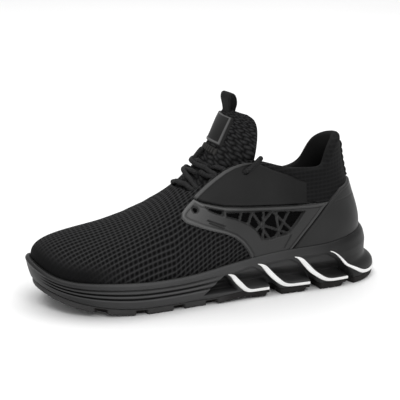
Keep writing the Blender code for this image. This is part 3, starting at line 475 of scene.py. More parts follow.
def spline(knots, values, at, closed=False):
    """Cubic curve through values at knots, with an even bend; a closed one repeats every whole turn."""
    knots, values, at = (np.asarray(given, float) for given in (knots, values, at))
    count = len(knots)
    if closed:
        knots = np.append(knots, knots[0] + 1)
        values = np.concatenate([values, values[:1]])
        at = (at - knots[0]) % 1 + knots[0]
    step = np.diff(knots)
    slope = (np.diff(values, axis=0).T / step).T
    size = count if closed else count - 2
    matrix = np.zeros((size, size))
    right = np.zeros((size, *values.shape[1:]))
    for row in range(size):
        before = row - 1 if closed else row
        after = row if closed else row + 1
        matrix[row, row] = 2 * (step[before] + step[after])
        if closed or row > 0:
            matrix[row, row - 1] += step[before]
        if closed or row < size - 1:
            matrix[row, (row + 1) % size] += step[after]
        right[row] = 6 * (slope[after] - slope[before])
    bend = np.linalg.solve(matrix, right.reshape(size, -1)).reshape(right.shape)
    if closed:
        bend = np.concatenate([bend, bend[:1]])
    else:
        bend = np.concatenate([np.zeros_like(bend[:1]), bend, np.zeros_like(bend[:1])])
    span = np.clip(np.searchsorted(knots, at, side="right") - 1, 0, len(step) - 1)
    width = step[span]
    far = (at - knots[span]) / width
    shape = far.shape + (1,) * (values.ndim - 1)
    far, width = far.reshape(shape), width.reshape(shape)
    near = 1 - far
    bent = ((near**3 - near) * bend[span] + (far**3 - far) * bend[span + 1]) * width**2 / 6
    return near * values[span] + far * values[span + 1] + bent


def unit(vectors):
    """Vectors of length 1."""
    return vectors / np.linalg.norm(vectors, axis=-1, keepdims=True)


def turn_at(distance):
    """Turn on the outer side whose outline point is that far from the heel."""
    return np.arccos(np.clip(2 * np.asarray(distance, float) / SOLE_LENGTH - 1, -1, 1)) / (2 * math.pi)


def outline(turn):
    """Widest plan outline of the sole: (x, y) at each turn, from the rows of OUTLINE on both sides."""
    rows = np.array(OUTLINE[::-1]) * MM
    outer = turn_at(rows[:, 0])
    knots = np.concatenate([[0.0], outer, [0.5], 1 - outer[::-1]])
    across = np.concatenate([[TOE_TIP_Y], rows[:, 1], [0.0], -rows[::-1, 2]])
    turn = np.asarray(turn, float)
    along = SOLE_LENGTH * (1 + np.cos(2 * math.pi * turn)) / 2
    return np.stack([along, spline(knots, across, turn, closed=True)], -1)


def outward(turn):
    """Unit plan normal of the outline, pointing out of the shoe."""
    small = 1e-4
    along = outline(np.asarray(turn) + small) - outline(np.asarray(turn) - small)
    return unit(np.stack([along[..., 1], -along[..., 0]], -1))


def heel_share(turn):
    """1 at the back of the heel, fading to 0 towards the waist."""
    return np.maximum(0, -np.cos(2 * math.pi * np.asarray(turn))) ** 3


def ring(turn, inset, set_back, height):
    """Outline point moved in by inset, moved forward by set_back at the heel, and lifted to height."""
    plan = outline(turn) - np.asarray(inset)[..., None] * outward(turn)
    ahead = plan[..., 0] + np.asarray(set_back) * heel_share(turn)
    return np.stack([ahead, plan[..., 1], np.broadcast_to(height, ahead.shape)], -1)


def height_at(turn, column):
    """Height at each turn from a column of HEIGHTS."""
    rows = np.array(HEIGHTS) * MM
    return spline(rows[:, 0], rows[:, column], outline(turn)[..., 0])


def rim_height(turn):
    """Height of the rim's top."""
    return height_at(turn, 1)


def floor_height(turn):
    """Height of the floor that the insole lies on."""
    return height_at(turn, 2)


def ground(distance):
    """Height of the tread: flat under heel and ball, lifted at the toe, the arch and the back edge."""
    distance = np.asarray(distance, float)
    toe = np.clip((distance - TOE_SPRING_START) / (SOLE_LENGTH - TOE_SPRING_START), 0, 1) ** 2
    heel = np.clip(1 - distance / HEEL_BEVEL_LENGTH, 0, 1) ** 2
    arch = ease(1 - np.abs(distance - ARCH_MIDDLE) / ARCH_HALF, 0, 1)
    return toe * TOE_SPRING + heel * HEEL_BEVEL + arch * ARCH_RISE


def rib_depth(share):
    """Depth of the grooves between the ribs at a share of the height: a cosine, deepest in the middle."""
    depth = np.zeros(np.shape(share))
    for middle, deep in RIB_GROOVES:
        away = np.clip(np.abs(share - middle) / RIB_HALF, 0, 1)
        depth += deep * MM * (0.5 + 0.5 * np.cos(math.pi * away))
    return depth


def ribbed_share(turn):
    """Share of the ribs that shows: all at the forefoot, fading out at the arch and at the tip of the toe."""
    along = outline(turn)[..., 0]
    return ease(along, *FOREFOOT_BLEND) * ease(SOLE_LENGTH - along, *RIB_TOE_FADE)


def side_ring(turn, share, proud=0.0):
    """Point on the side of the sole, a share of the way from the tread up to the rim."""
    turn = np.asarray(turn, float)
    rows = np.array(SIDE)
    fore, rear, set_back = np.moveaxis(spline(rows[:, 0], rows[:, 1:] * MM, np.clip(share, 0, 1)), -1, 0)
    along = outline(turn)[..., 0]
    front = ease(along, *FOREFOOT_BLEND)
    inset = fore * front + rear * (1 - front) + rib_depth(share) * ribbed_share(turn) - proud
    low = ground(along) + TREAD + GAP
    return ring(turn, inset, set_back, low + (rim_height(turn) - low) * share)


def side_share(turn, height):
    """Share of the sole's side at which it stands that high."""
    low = ground(outline(turn)[..., 0]) + TREAD + GAP
    return (height - low) / (rim_height(turn) - low)


def upper_foot(turn, lift):
    """Outer face of the upper inside the rim, lifted from the floor (0) to the top of the rim (1)."""
    low = floor_height(turn) + GAP
    inset = np.full(np.shape(turn), RIM + GAP)
    return ring(turn, inset, HEEL_SET_BACK, low + (rim_height(turn) - low) * lift)


def upper_point(turn, rise):
    """Outer face of the upper from the rim (0) to the opening's edge (1): a cubic arch in each section."""
    turn = np.asarray(turn, float)
    rows = np.array(SECTIONS)
    back = rows[-2:0:-1]
    knots = np.concatenate([rows[:, 0], 1 - back[:, 0]])
    edges = np.concatenate([rows[:, [1, 2, 3]], back[:, [1, 2, 4]] * (1, -1, 1)])
    edge = spline(knots, edges * MM, turn, closed=True)
    form = spline(knots, np.concatenate([rows[:, 5:], back[:, 5:]]) * MM, turn, closed=True)
    foot = upper_foot(turn, 1.0)
    cheek = foot.copy()
    cheek[..., :2] += outward(turn) * form[..., 1:2]
    cheek[..., 2] += form[..., 0]
    brow = edge.copy()
    brow[..., :2] += unit(foot[..., :2] - edge[..., :2]) * form[..., 2:3]
    brow[..., 2] -= form[..., 3]
    rise = np.asarray(rise, float)[..., None]
    rest = 1 - rise
    return rest**3 * foot + 3 * rest**2 * rise * cheek + 3 * rest * rise**2 * brow + rise**3 * edge


def upper_normal(turn, rise):
    """Unit normal of the upper's outer face, pointing out."""
    small = 1e-3
    turn, rise = np.asarray(turn, float), np.asarray(rise, float)
    round_ = upper_point(turn + small, rise) - upper_point(turn - small, rise)
    up = upper_point(turn, np.clip(rise + small, 0, 1)) - upper_point(turn, np.clip(rise - small, 0, 1))
    return unit(np.cross(round_, up))


def offset_upper(turn, rise, out):
    """Point of the upper's outer face moved out along its normal."""
    turn, rise = np.broadcast_arrays(turn, rise)
    return upper_point(turn, rise) + upper_normal(turn, rise) * np.asarray(out)[..., None]


def wall(turn, rise):
    """Thickness of the upper: the knit alone, and a padded collar round the ankle."""
    ankle = ease(np.abs(np.asarray(turn) - 0.5), *COLLAR_TURNS)
    return KNIT + (COLLAR_PAD - KNIT) * ankle * ease(rise, *COLLAR_RISE)


def tongue_point(along, across, depth):
    """Tongue face: a middle line in side view, wrapped back to its edges, sunk by depth along its normal."""
    rows = np.array(TONGUE) * MM
    knots = np.linspace(0, 1, len(rows))
    along, across = np.broadcast_arrays(along, across)
    middle = spline(knots, rows, along)
    before, after = np.clip(along - 1e-3, 0, 1), np.clip(along + 1e-3, 0, 1)
    run = unit(spline(knots, rows[:, :2], after) - spline(knots, rows[:, :2], before))
    wrap = 1 - np.cos(across * math.pi / 2)
    x = middle[..., 0] - middle[..., 3] * wrap - run[..., 1] * depth
    z = middle[..., 1] - middle[..., 4] * wrap + run[..., 0] * depth
    return np.stack([x, middle[..., 2] * np.sin(across * math.pi / 2), z], -1)


def leaf_top(leaf, distance):
    """Height of a leaf's upper edge: from the band it falls soon, and then runs out slowly to its foot."""
    start, top, run = (value * MM for value in leaf[:3])
    share = np.clip((start - np.asarray(distance)) / run, 0, 1)
    return LEAF_FOOT + (top - LEAF_FOOT) * (1 - share) ** 3 * (1 + 3 * share)


def line_distance(x, z, line):
    """Distance (mm) in side view from points to a straight line between two ends."""
    x0, z0, x1, z1 = line
    run, climb = x1 - x0, z1 - z0
    share = np.clip(((x - x0) * run + (z - z0) * climb) / (run**2 + climb**2), 0, 1)
    return np.hypot(x - x0 - share * run, z - z0 - share * climb)


def path_distance(x, z, corners):
    """Distance (mm) in side view from points to an open line of corners."""
    return np.min([line_distance(x, z, (*a, *b)) for a, b in zip(corners, corners[1:])], axis=0)


def side_distance(x, z, corners):
    """Distance (mm) in side view from points to a closed outline, more than 0 inside it."""
    corners = np.asarray(corners, float)
    inside = np.zeros(x.shape, bool)
    for (x0, z0), (x1, z1) in zip(corners, np.roll(corners, -1, axis=0)):
        if z0 != z1:
            inside ^= ((z0 > z) != (z1 > z)) & (x < x0 + (z - z0) * (x1 - x0) / (z1 - z0))
    nearest = path_distance(x, z, np.concatenate([corners, corners[:1]]))
    return np.where(inside, nearest, -nearest)


def grid_quads(rows, columns, wrap_columns=False, wrap_rows=False):
    """Corner numbers of each cell of a grid of points; a wrapped grid joins its last line to its first."""
    row = np.arange(rows if wrap_rows else rows - 1)[:, None]
    column = np.arange(columns if wrap_columns else columns - 1)[None]
    low, high = row * columns, (row + 1) % rows * columns
    beside = (column + 1) % columns
    return np.stack([low + column, low + beside, high + beside, high + column], -1).reshape(-1, 4)


def add_mesh(name, points, faces, materials, shown=None, slot_of_face=None):
    """Mesh object in the row's frame from points and faces, turned to face out by its signed volume.

    The named values shown at its points become attributes, and "place", which has two lengths, a UV map.
    """
    fans = [f[:, [0, k, k + 1]] for f in faces for k in range(1, f.shape[1] - 1)]
    a, b, c = points[np.concatenate(fans)].transpose(1, 0, 2)
    if np.einsum("ij,ij->", a, np.cross(b, c)) < 0:
        faces = [f[:, ::-1] for f in faces]
    corners = np.concatenate([f.ravel() for f in faces]).astype(np.int32)
    sizes = np.concatenate([np.full(len(f), f.shape[1]) for f in faces]).astype(np.int32)
    mesh = bpy.data.meshes.new(name)
    mesh.vertices.add(len(points))
    mesh.vertices.foreach_set("co", (points - ORIGIN).ravel())
    mesh.loops.add(len(corners))
    mesh.loops.foreach_set("vertex_index", corners)
    mesh.polygons.add(len(sizes))
    mesh.polygons.foreach_set("loop_start", (np.cumsum(sizes) - sizes).astype(np.int32))
    mesh.polygons.foreach_set("loop_total", sizes)
    for material in materials:
        mesh.materials.append(material)
    if slot_of_face is not None:
        mesh.polygons.foreach_set("material_index", slot_of_face.astype(np.int32))
    for key, values in (shown or {}).items():
        if key == "place":
            mesh.uv_layers.new(name=key).data.foreach_set("uv", values.reshape(-1, 2)[corners].ravel())
        else:
            values = values.ravel().astype(np.float32)
            mesh.attributes.new(key, "FLOAT", "POINT").data.foreach_set("value", values)
    mesh.update(calc_edges=True)
    mesh.validate()
    mesh.shade_smooth()
    obj = bpy.data.objects.new(name, mesh)
    bpy.context.scene.collection.objects.link(obj)
    return obj


def cap(values, first, count, steps, start):
    """Grid across a ring from one side to the other: values at its new points, its quads and tip triangles.

    Point number i of the ring is joined to number count - i by straight steps; the two tips close as fans.
    """
    half = count // 2
    near, far = values[1:half], values[count - 1 : half : -1]
    share = (np.arange(1, steps) / steps)[None, :, None]
    between = near[:, None] + (far - near)[:, None] * share
    number = np.empty((half - 1, steps + 1), int)
    number[:, 0] = first + np.arange(1, half)
    number[:, -1] = first + np.arange(count - 1, half, -1)
    number[:, 1:-1] = start + np.arange((half - 1) * (steps - 1)).reshape(half - 1, steps - 1)
    quads = number.ravel()[grid_quads(half - 1, steps + 1)]
    toe = np.stack([np.full(steps, first), number[0, 1:], number[0, :-1]], -1)
    heel = np.stack([number[-1, :-1], number[-1, 1:], np.full(steps, first + half)], -1)
    return between.reshape(-1, values.shape[1]), quads, np.concatenate([toe, heel])


def stack_faces(values, steps, start=0):
    """Rows of rings as a closed skin with a cap across each end: values at its points, quads, triangles."""
    rows, count, width = values.shape
    flat = values.reshape(-1, width)
    last = (rows - 1) * count
    low, low_quads, low_tips = cap(flat[:count], 0, count, steps, len(flat))
    high, high_quads, high_tips = cap(flat[last:], last, count, steps, len(flat) + len(low))
    quads = np.concatenate([grid_quads(rows, count, True), low_quads, high_quads[:, ::-1]])
    tips = np.concatenate([low_tips, high_tips[:, ::-1]])
    return np.concatenate([flat, low, high]), quads + start, tips + start


def add_ring_stacks(name, stacks, materials, steps):
    """One mesh of stacks of rings, each given as its rings and the named values shown at their points."""
    parts = []
    start = 0
    for rings, shown in stacks:
        layers = [rings, *(values.reshape(*rings.shape[:2], -1) for values in shown.values())]
        parts.append(stack_faces(np.concatenate(layers, -1), steps, start))
        start += len(parts[-1][0])
    values, quads, tips = (np.concatenate(kind) for kind in zip(*parts))
    keys = list(stacks[0][1])
    cuts = np.cumsum([3] + [2 if key == "place" else 1 for key in keys])
    points, *kept = np.split(values, cuts, axis=1)
    return add_mesh(name, points, [quads, tips], materials, dict(zip(keys, kept)))


def add_slab(name, top, base, keep, material, shown):
    """Closed solid between two grids of points where cells are kept, with a wall along each open border."""
    rows, columns = top.shape[:2]
    cells = grid_quads(rows, columns).reshape(rows - 1, columns - 1, 4)
    count = rows * columns
    padded = np.pad(keep, 1)
    walls = []
    for side, beside in enumerate((padded[:-2, 1:-1], padded[1:-1, 2:], padded[2:, 1:-1], padded[1:-1, :-2])):
        edge = cells[keep & ~beside]
        start, end = edge[:, side], edge[:, (side + 1) % 4]
        walls.append(np.stack([end, start, start + count, end + count], -1))
    kept = cells[keep]
    quads = np.concatenate([kept, kept[:, ::-1] + count, *walls])
    used, quads = np.unique(quads, return_inverse=True)
    points = np.concatenate([top.reshape(-1, 3), base.reshape(-1, 3)])[used]
    shown = {key: np.tile(values.reshape(count, -1), (2, 1))[used] for key, values in shown.items()}
    return add_mesh(name, points, [quads.reshape(-1, 4)], (material,), shown)


def knit_place(points):
    """Place on the cloth (mm): distance along the shoe, and distance out and down from the top of the vamp.

    On the sides the rows climb towards the heel. Behind the throat the second is the distance down alone.
    """
    x, y, z = (points[..., axis] / MM for axis in range(3))
    line_x, line_z = np.array(TOP_LINE).T
    below = np.interp(x, line_x[::-1], line_z[::-1]) - z
    vamp = np.hypot(y, np.maximum(below - TOP_EASE, 0))
    vamp -= ROW_CLIMB * (x - ROW_START) * ease(vamp, *ROW_SIDES)
    quarter = QUARTER_OUT + below
    along = x - CELL_LEAN * ease(x, *CELL_TOE) * (z - CELL_LEVEL)
    return along, vamp + (quarter - vamp) * ease(x, *QUARTER_SPAN)


def waffle(along, across):
    """Waffle knit from 0 in a pit to 1 on a ridge: ridges along the shoe, joined by lower ones across."""
    wave_along = 0.5 - 0.5 * np.cos(2 * math.pi * along / KNIT_PITCH)
    wave_across = 0.5 - 0.5 * np.cos(2 * math.pi * across / KNIT_ROW)
    return 1 - wave_across**0.6 * (0.2 + 0.8 * wave_along**0.5)


def bare_cloth(points, turn):
    """Share of the cloth that is smooth: most of it round the ankle and just above the rim at the toe."""
    x, z = points[..., 0] / MM, points[..., 2] / MM
    over_rim = z - rim_height(turn) / MM
    places = ((over_rim, BARE_TOE), (z, BARE_ANKLE))
    return np.max([most * ease(x, *ends) * ease(up, *span) for up, (most, ends, span) in places], axis=0)


def window_shadow(points):
    """1 on the cloth behind the windows, pocket and eyelets and under the wing's edge, and 0 elsewhere."""
    x, y, z = (points[..., axis] / MM for axis in range(3))
    sides = []
    for windows, eyelets in (((OUTER_WINDOW, OUTER_POCKET), OUTER_EYELETS), ((INNER_WINDOW,), INNER_EYELETS)):
        openings = [side_distance(x, z, corners) for corners in windows]
        for hole_x, hole_z, radius in eyelets:
            openings.append(radius + SHADE_EYELET - np.hypot(x - hole_x, z - hole_z))
        sides.append(np.max(openings, axis=0))
    sides[0] = np.maximum(sides[0], SHADE_GAP - path_distance(x, z, WING_GAP))
    return ease(np.where(y > 0, *sides), *SHADE_EDGE)


def vamp_creases(points):
    """Soft creases over the vamp (mm): each a trough with a low ridge behind it, fading down the sides."""
    x, y = points[..., 0] / MM, points[..., 1] / MM
    depth = np.zeros(x.shape)
    for place, lean, deep, reach in VAMP_CREASES:
        away = x - place - lean * y
        fade = np.exp(-(y / reach) ** 2)
        ridge = RIDGE_SHARE * np.exp(-((away + RIDGE_BEHIND) / RIDGE_HALF) ** 2)
        depth += fade * deep * (ridge - np.exp(-(away / CREASE_HALF) ** 2))
    return depth


def make_upper(knit, lining):
    """Knitted upper: rings round the shoe up the outer face, over a round edge and down the lining.

    The outer face is the arch of each section moved along its normal by the waffle and the creases, and sunk
    behind the windows. The edge is half an ellipse as thick as the wall. The lining is the arch moved in by
    the wall.
    """
    turn, rise = np.meshgrid(np.arange(UPPER_COLUMNS) / UPPER_COLUMNS, np.linspace(0, 1, UPPER_ROWS))
    face = upper_point(turn, rise)
    bare, shadow = bare_cloth(face, turn), window_shadow(face)
    relief = KNIT_RELIEF * (waffle(*knit_place(face)) - 1) * (1 - bare) * ease(rise, 1, 0.95)
    relief += vamp_creases(face) - SHADE_SINK * shadow
    outer = face + upper_normal(turn, rise) * (relief * MM)[..., None]
    round_ = turn[:1]
    foot = upper_foot(round_, 0.0)
    inner_turn, inner_rise = np.meshgrid(turn[0], np.linspace(1, 0.1, LINING_ROWS))
    inner = offset_upper(inner_turn, inner_rise, -wall(inner_turn, inner_rise))
    middle = (outer[-1] + inner[0]) / 2
    beyond = unit(outer[-1] - upper_point(turn[0], np.full(UPPER_COLUMNS, 0.98)))
    beyond *= 0.45 * wall(turn[0], 1.0)[:, None]
    bend = np.linspace(0, math.pi, ROLL_ROWS + 2)[1:-1, None, None]
    roll = middle + (outer[-1] - middle) * np.cos(bend) + beyond * np.sin(bend)
    thin = np.full(round_.shape, RIM + GAP + KNIT)
    sole_edge = ring(round_, thin, HEEL_SET_BACK, floor_height(round_) + GAP)
    rows = np.concatenate([foot, outer, roll, inner, sole_edge])
    quads = grid_quads(len(rows), UPPER_COLUMNS, True, True)
    inside = np.repeat(np.arange(len(rows)) > UPPER_ROWS + ROLL_ROWS // 2, UPPER_COLUMNS)
    rest = ((1, len(rows) - UPPER_ROWS - 1), (0, 0))
    shown = {
        "place": np.stack(knit_place(rows), -1),
        "bare": np.pad(bare, rest, "edge"),
        "shadow": np.pad(shadow, rest),
    }
    points = rows.reshape(-1, 3)
    return add_mesh("knitted_upper", points, [quads], (knit, lining), shown, inside[quads[:, 0]])


def dash_height(across, along):
    """Puffy grains of the tongue's knit, from 0 to 1.

    They are half waves each way on a slanted grid that wanders a little, each row moved on by half a grain.
    """
    slanted = along + 0.3 * across + 0.5 * np.sin(0.9 * across + 0.35 * along)
    row = np.floor(slanted / DASH_ROW)
    moved = 0.5 * (row % 2 == 0) + 0.12 * np.sin(2.4 * row)
    wave_across = np.abs(np.sin(math.pi * (across / DASH_LENGTH + moved)))
    return np.sqrt(wave_across * np.abs(np.sin(math.pi * slanted / DASH_ROW)))


def make_tongue(knit):
    """Padded tongue: a closed ring round its section at each place along it, rounded off at both ends.

    A point goes round the section as a wide oval: its cosine is the place across, and its sine, flattened,
    the half thickness. The oval thins out at the two ends. The grains stand up from the front.
    """
    turned = 2 * math.pi * np.arange(TONGUE_COLUMNS) / TONGUE_COLUMNS
    along, angle = np.meshgrid(np.linspace(0, 1, TONGUE_ROWS), turned, indexing="ij")
    side = np.sign(np.sin(angle)) * np.abs(np.sin(angle)) ** 0.55
    plump = np.sqrt(np.clip(1 - np.abs(2 * along - 1) ** 14, 0.02, 1))
    across = np.cos(angle) * (1 - 0.16 * ease(along, 0.9, 1) ** 2)
    place = np.stack([across * TONGUE_HALF, along * TONGUE_LENGTH], -1) / MM
    puff = dash_height(place[..., 0], place[..., 1])
    raised = (puff - 1) * DASH_RELIEF * MM * ease(side, 0.2, 0.7) * ease(along, 1, 0.95)
    rings = tongue_point(along, across, TONGUE_THICK / 2 * (1 - side * plump) - raised)
    return add_ring_stacks("padded_tongue", [(rings, {"place": place, "puff": puff})], (knit,), CAP_STEPS)


def pocket_share(points):
    """Share of the pocket ahead of the first leaf: 1 inside it, between its slanting front and the leaf."""
    x, z = points[..., 0], points[..., 2]
    (low_x, low_z), (high_x, high_z) = np.array(POCKET_FRONT) * MM
    start, top, _, _, corner = (value * MM for value in LEAVES[0])
    share = np.clip(z / (top - BAND_DROP), 0, 1.2)
    behind = x - corner - (start - corner) * share**2
    ahead = low_x + (z - low_z) * (high_x - low_x) / (high_z - low_z) - x
    within = np.min([behind, ahead, z - POCKET_LOW, POCKET_TOP - z], axis=0)
    return ease(within * POCKET_SOFT, *POCKET_EDGE)


def hollow_depth(points):
    """How deep the sole's side is hollowed: between two leaves, and in the pocket ahead of the first leaf.

    A hollow lies above one leaf's upper edge or behind its foot, ahead of the next leaf's front edge and
    under the band. The least of those three distances makes its shoulder, long under the band and short at
    the leaves. It is deepest at the tread.
    """
    x, z = points[..., 0], points[..., 2]
    low = 1 - ease(z, HOLLOW_DEEP, HOLLOW_TOP)
    depth = (HOLLOW_SKIN + (POCKET_DEPTH - HOLLOW_SKIN) * low) * pocket_share(points)
    reach = HOLLOW_SKIN + (LEAF_DEPTH - HOLLOW_SKIN) * low
    for ahead, behind in zip(LEAVES, LEAVES[1:]):
        start, top, _, _, corner = (value * MM for value in behind)
        start, top = start + BAND_AHEAD, top - BAND_DROP
        share = np.clip(z / top, 0, 1.2)
        lean = 2 * (start - corner) * share / top
        front = (x - corner - (start - corner) * share**2) / np.sqrt(1 + lean**2)
        slope = (leaf_top(ahead, x + MM) - leaf_top(ahead, x - MM)) / (2 * MM)
        above = (z - leaf_top(ahead, x) - LEAF_LIP) / np.sqrt(1 + slope**2)
        above = np.maximum(above, ahead[3] * MM - x)
        band = top + (x - start) * (ahead[1] - behind[1]) / (ahead[0] - behind[0]) - z
        within = np.min([front, above, band * BAND_SOFT], axis=0)
        depth = np.maximum(depth, reach * ease(within, *HOLLOW_EDGE))
    return depth


def make_midsole(foam):
    """Cup sole: rings from the tread up its side, over the rim and down to the floor inside.

    The side is the outline moved in by its inset, by the ribs' grooves and by the hollows between the leaves.
    A groove and the pocket get painted shade, and the lip below a groove, which faces up, a painted
    highlight. The depth of the hollows gives them painted light.
    """
    turn, share = np.meshgrid(np.arange(SOLE_COLUMNS) / SOLE_COLUMNS, np.linspace(0, 1, SOLE_ROWS))
    plain = side_ring(turn, share)
    depth = hollow_depth(plain)
    side = side_ring(turn, share, -depth)
    round_ = turn[:1]
    inside = np.full(round_.shape, RIM)
    rim = ring(round_, inside, HEEL_SET_BACK, rim_height(round_))
    floor = ring(round_, inside, HEEL_SET_BACK, floor_height(round_))
    lip = np.maximum(rib_depth(share + RIB_HALF) - rib_depth(share), 0)
    # Painted shade in the ribs' grooves and the pocket, less on the lip under a groove: painted highlight
    groove = (rib_depth(share) - 0.6 * lip) / MM * ribbed_share(turn) + 2 * pocket_share(plain)
    rest = ((0, 2), (0, 0))
    # The hollows' depth is shown for painted light in them
    shown = {"hollow": np.pad(depth / LEAF_DEPTH, rest), "groove": np.pad(groove, rest)}
    return add_ring_stacks("cup_sole", [(np.concatenate([side, rim, floor]), shown)], (foam,), CAP_STEPS)


def chevron_place(points):
    """Distance from the heel, less the lead of a chevron there, which is most on the centre line."""
    return points[..., 0] - CHEVRON * (1 - np.abs(points[..., 1]) / CHEVRON_HALF)


def lug_gap(points):
    """Share of the wide chevron grooves between the lugs: 1 in a groove, 0 on a lug."""
    away = [np.abs(chevron_place(points) - place * MM) for place in FOREFOOT_GROOVES + HEEL_GROOVES]
    return ease(GROOVE_WIDTH / 2 - np.min(away, axis=0), -GROOVE_EDGE, GROOVE_EDGE)


def tread_depth(points):
    """Depth of the tread's pattern: chevron grooves between the lugs, and fine cuts of that form in them."""
    fine = ease(np.abs(chevron_place(points) / TREAD_CUT % 1 - 0.5), 0.36, 0.46)
    return np.maximum(lug_gap(points) * GROOVE_DEPTH, fine * TREAD_CUT_DEPTH)


def make_outsole(rubber):
    """Rubber tread: rings up its side with the hollows let in, and a grid across underneath with the tread.

    The rings low on the side are notched between the lugs of the forefoot. A ring that lies lower than the
    tread's grooves is lifted to them, and less in a notch. The grid underneath spans the lowest ring before
    its lift, and then gets the whole tread.
    """
    turn = np.arange(SOLE_COLUMNS) / SOLE_COLUMNS
    along = outline(turn)[:, 0]
    front = ease(along, *FOREFOOT_BLEND)
    fore, rear, set_back = np.array(SIDE[0][1:]) * MM
    rings = []
    for more, height, notched in np.array(OUTSOLE_SIDE) * (MM, TREAD, NOTCH_DEPTH):
        inset = fore * front + rear * (1 - front) + more
        plain = ring(turn, inset, set_back, ground(along) + height)
        gap = lug_gap(plain) * ease(along, *NOTCH_START)
        notch = notched * gap
        lift = np.maximum(tread_depth(plain) * (1 - (1 - NOTCH_LIFT) * gap) - height, 0)
        inward = inset + np.maximum(hollow_depth(plain), notch)
        moved = ring(turn, inward, set_back, ground(along) + height + lift)
        rings.append(np.concatenate([moved, lift[:, None], notch[:, None]], -1))
    values, quads, tips = stack_faces(np.stack(rings), TREAD_STEPS)
    points = values[:, :3]
    first = len(rings) * SOLE_COLUMNS
    under = slice(first, first + (len(values) - first) // 2)
    points[under, 2] += tread_depth(points[under]) - values[under, 3]
    # The notches are shown for painted shade in them
    return add_mesh("tread_rubber", points, [quads, tips], (rubber,), {"notch": values[:, 4] / NOTCH_DEPTH})


def make_insole(cloth):
    """Sock on the cup's floor: three rings that round its edge off, and a flat top."""
    turn = np.arange(INSOLE_COLUMNS) / INSOLE_COLUMNS
    inset = np.full(turn.shape, RIM + GAP + KNIT + GAP)
    low = floor_height(turn) + GAP
    rings = [
        ring(turn, inset, HEEL_SET_BACK, low),
        ring(turn, inset + 0.2 * MM, HEEL_SET_BACK, low + INSOLE_THICK * 0.7),
        ring(turn, inset + 1.2 * MM, HEEL_SET_BACK, low + INSOLE_THICK),
    ]
    return add_ring_stacks("sock_insole", [(np.stack(rings), {})], (cloth,), CAP_STEPS)


def panel_height(inside):
    """Height of a moulded panel over the knit (mm): a soft shoulder that starts below the knit."""
    return -PANEL_ROOT + (PANEL_TOP + PANEL_ROOT) * ease(inside, -SHOULDER, SHOULDER)


def trough(distance, half, depth):
    """Round groove (mm) along a line: deepest on the line, gone at half its width."""
    return -depth * ease(distance, half, 0)


def rim_groove(edge, inset, half, depth):
    """Round groove (mm) that runs along a panel's edge at a distance in."""
    return trough(np.abs(edge - inset), half, depth)


def edge_highlight(edge, x, ahead):
    """Painted highlight along a cage's edge, which grows by that much towards the tip."""
    return (HIGHLIGHT_BACK + ahead * ease(x, *HIGHLIGHT_SPAN)) * ease(edge, *HIGHLIGHT_EDGE)


def cage_painted_light(least, highlight, grooves):
    """Share of the lighter colour on a cage: a least one, its painted highlight, and painted shade in the
    grooves.
    """
    return np.clip(least + 0.82 * highlight + 0.45 * grooves, 0, 1)


def upper_patch(first, last, columns, rows, low=0.0):
    """Grid over the upper between two turns, from a low rise up: turn, rise, and side-view place (mm)."""
    turn, rise = np.meshgrid(np.linspace(first, last, columns), np.linspace(low, 1, rows))
    points = upper_point(turn, rise)
    return turn, rise, points[..., 0] / MM, points[..., 2] / MM


def add_panel(name, turn, rise, height, material, shown):
    """Moulded panel: the part of a patch that stands above the knit, closed by a base below the knit.

    Where two kept cells touch only at a corner, a cell beside them is kept too.
    """
    top = offset_upper(turn, rise, height * MM)
    base = offset_upper(turn, rise, np.full(turn.shape, -PANEL_BASE * MM))
    tall = height > -PANEL_ROOT + 0.02
    keep = tall[:-1, :-1] | tall[1:, :-1] | tall[:-1, 1:] | tall[1:, 1:]
    keep[1:, :-1] |= keep[:-1, :-1] & keep[1:, 1:] & ~keep[:-1, 1:]
    keep[:-1, :-1] |= keep[1:, :-1] & keep[:-1, 1:] & ~keep[1:, 1:]
    return add_slab(name, top, base, keep, material, shown)


def webbed(x, z, windows, struts, height):
    """Panel height with its windows let out, and the web of struts across the first one."""
    web = np.max([STRUT_WIDTH / 2 - line_distance(x, z, strut) for strut in struts], axis=0)
    for number, corners in enumerate(windows):
        opening = side_distance(x, z, corners)
        strut = (panel_height(web) + PANEL_ROOT) * STRUT_LOWER * (number == 0) - PANEL_ROOT
        cut = np.maximum(np.minimum(height, panel_height(-opening)), strut)
        height = np.where(opening > -0.8, cut, height)
    return height


def eyelets_out(x, z, height, eyelets):
    """Panel height with round holes and a low ring round each."""
    for place_x, place_z, radius in eyelets:
        away = np.hypot(x - place_x, z - place_z) - radius
        raised = height + RING_LIFT * ease(np.abs(away - RING_HALF), RING_HALF, 0)
        height = np.where(away < RING_REACH, np.minimum(raised, panel_height(away)), height)
    return height


def make_outer_cage(plastic):
    """Outer cage: panel with a web, a small pocket, an eyelet at its tip and moulded grooves.

    It has a painted highlight along its edge and all over towards its tip, and painted shade in its grooves.
    """
    turn, rise, x, z = upper_patch(0.14, 0.40, 330, 170)
    edge = side_distance(x, z, OUTER_CAGE)
    grooves = rim_groove(edge, *CAGE_RIM)
    for line in CAGE_SLOTS:
        grooves += trough(line_distance(x, z, line), *SLOT_SECTION) * (edge > 1)
    grooves += trough(line_distance(x, z, CAGE_NOTCH), *NOTCH_SECTION) * (edge > 1)
    height = webbed(x, z, (OUTER_WINDOW, OUTER_POCKET), OUTER_STRUTS, panel_height(edge) + grooves)
    height = eyelets_out(x, z, height, OUTER_EYELETS[1:])
    # Painted highlight over the tip and along the edge, and painted shade in the grooves
    painted_light = cage_painted_light(0.16, np.maximum(0.55 * ease(x, 135, 176), edge_highlight(edge, x, 0.75)), grooves)
    return add_panel("outer_cage_web", turn, rise, height, plastic, {"painted_light": painted_light})


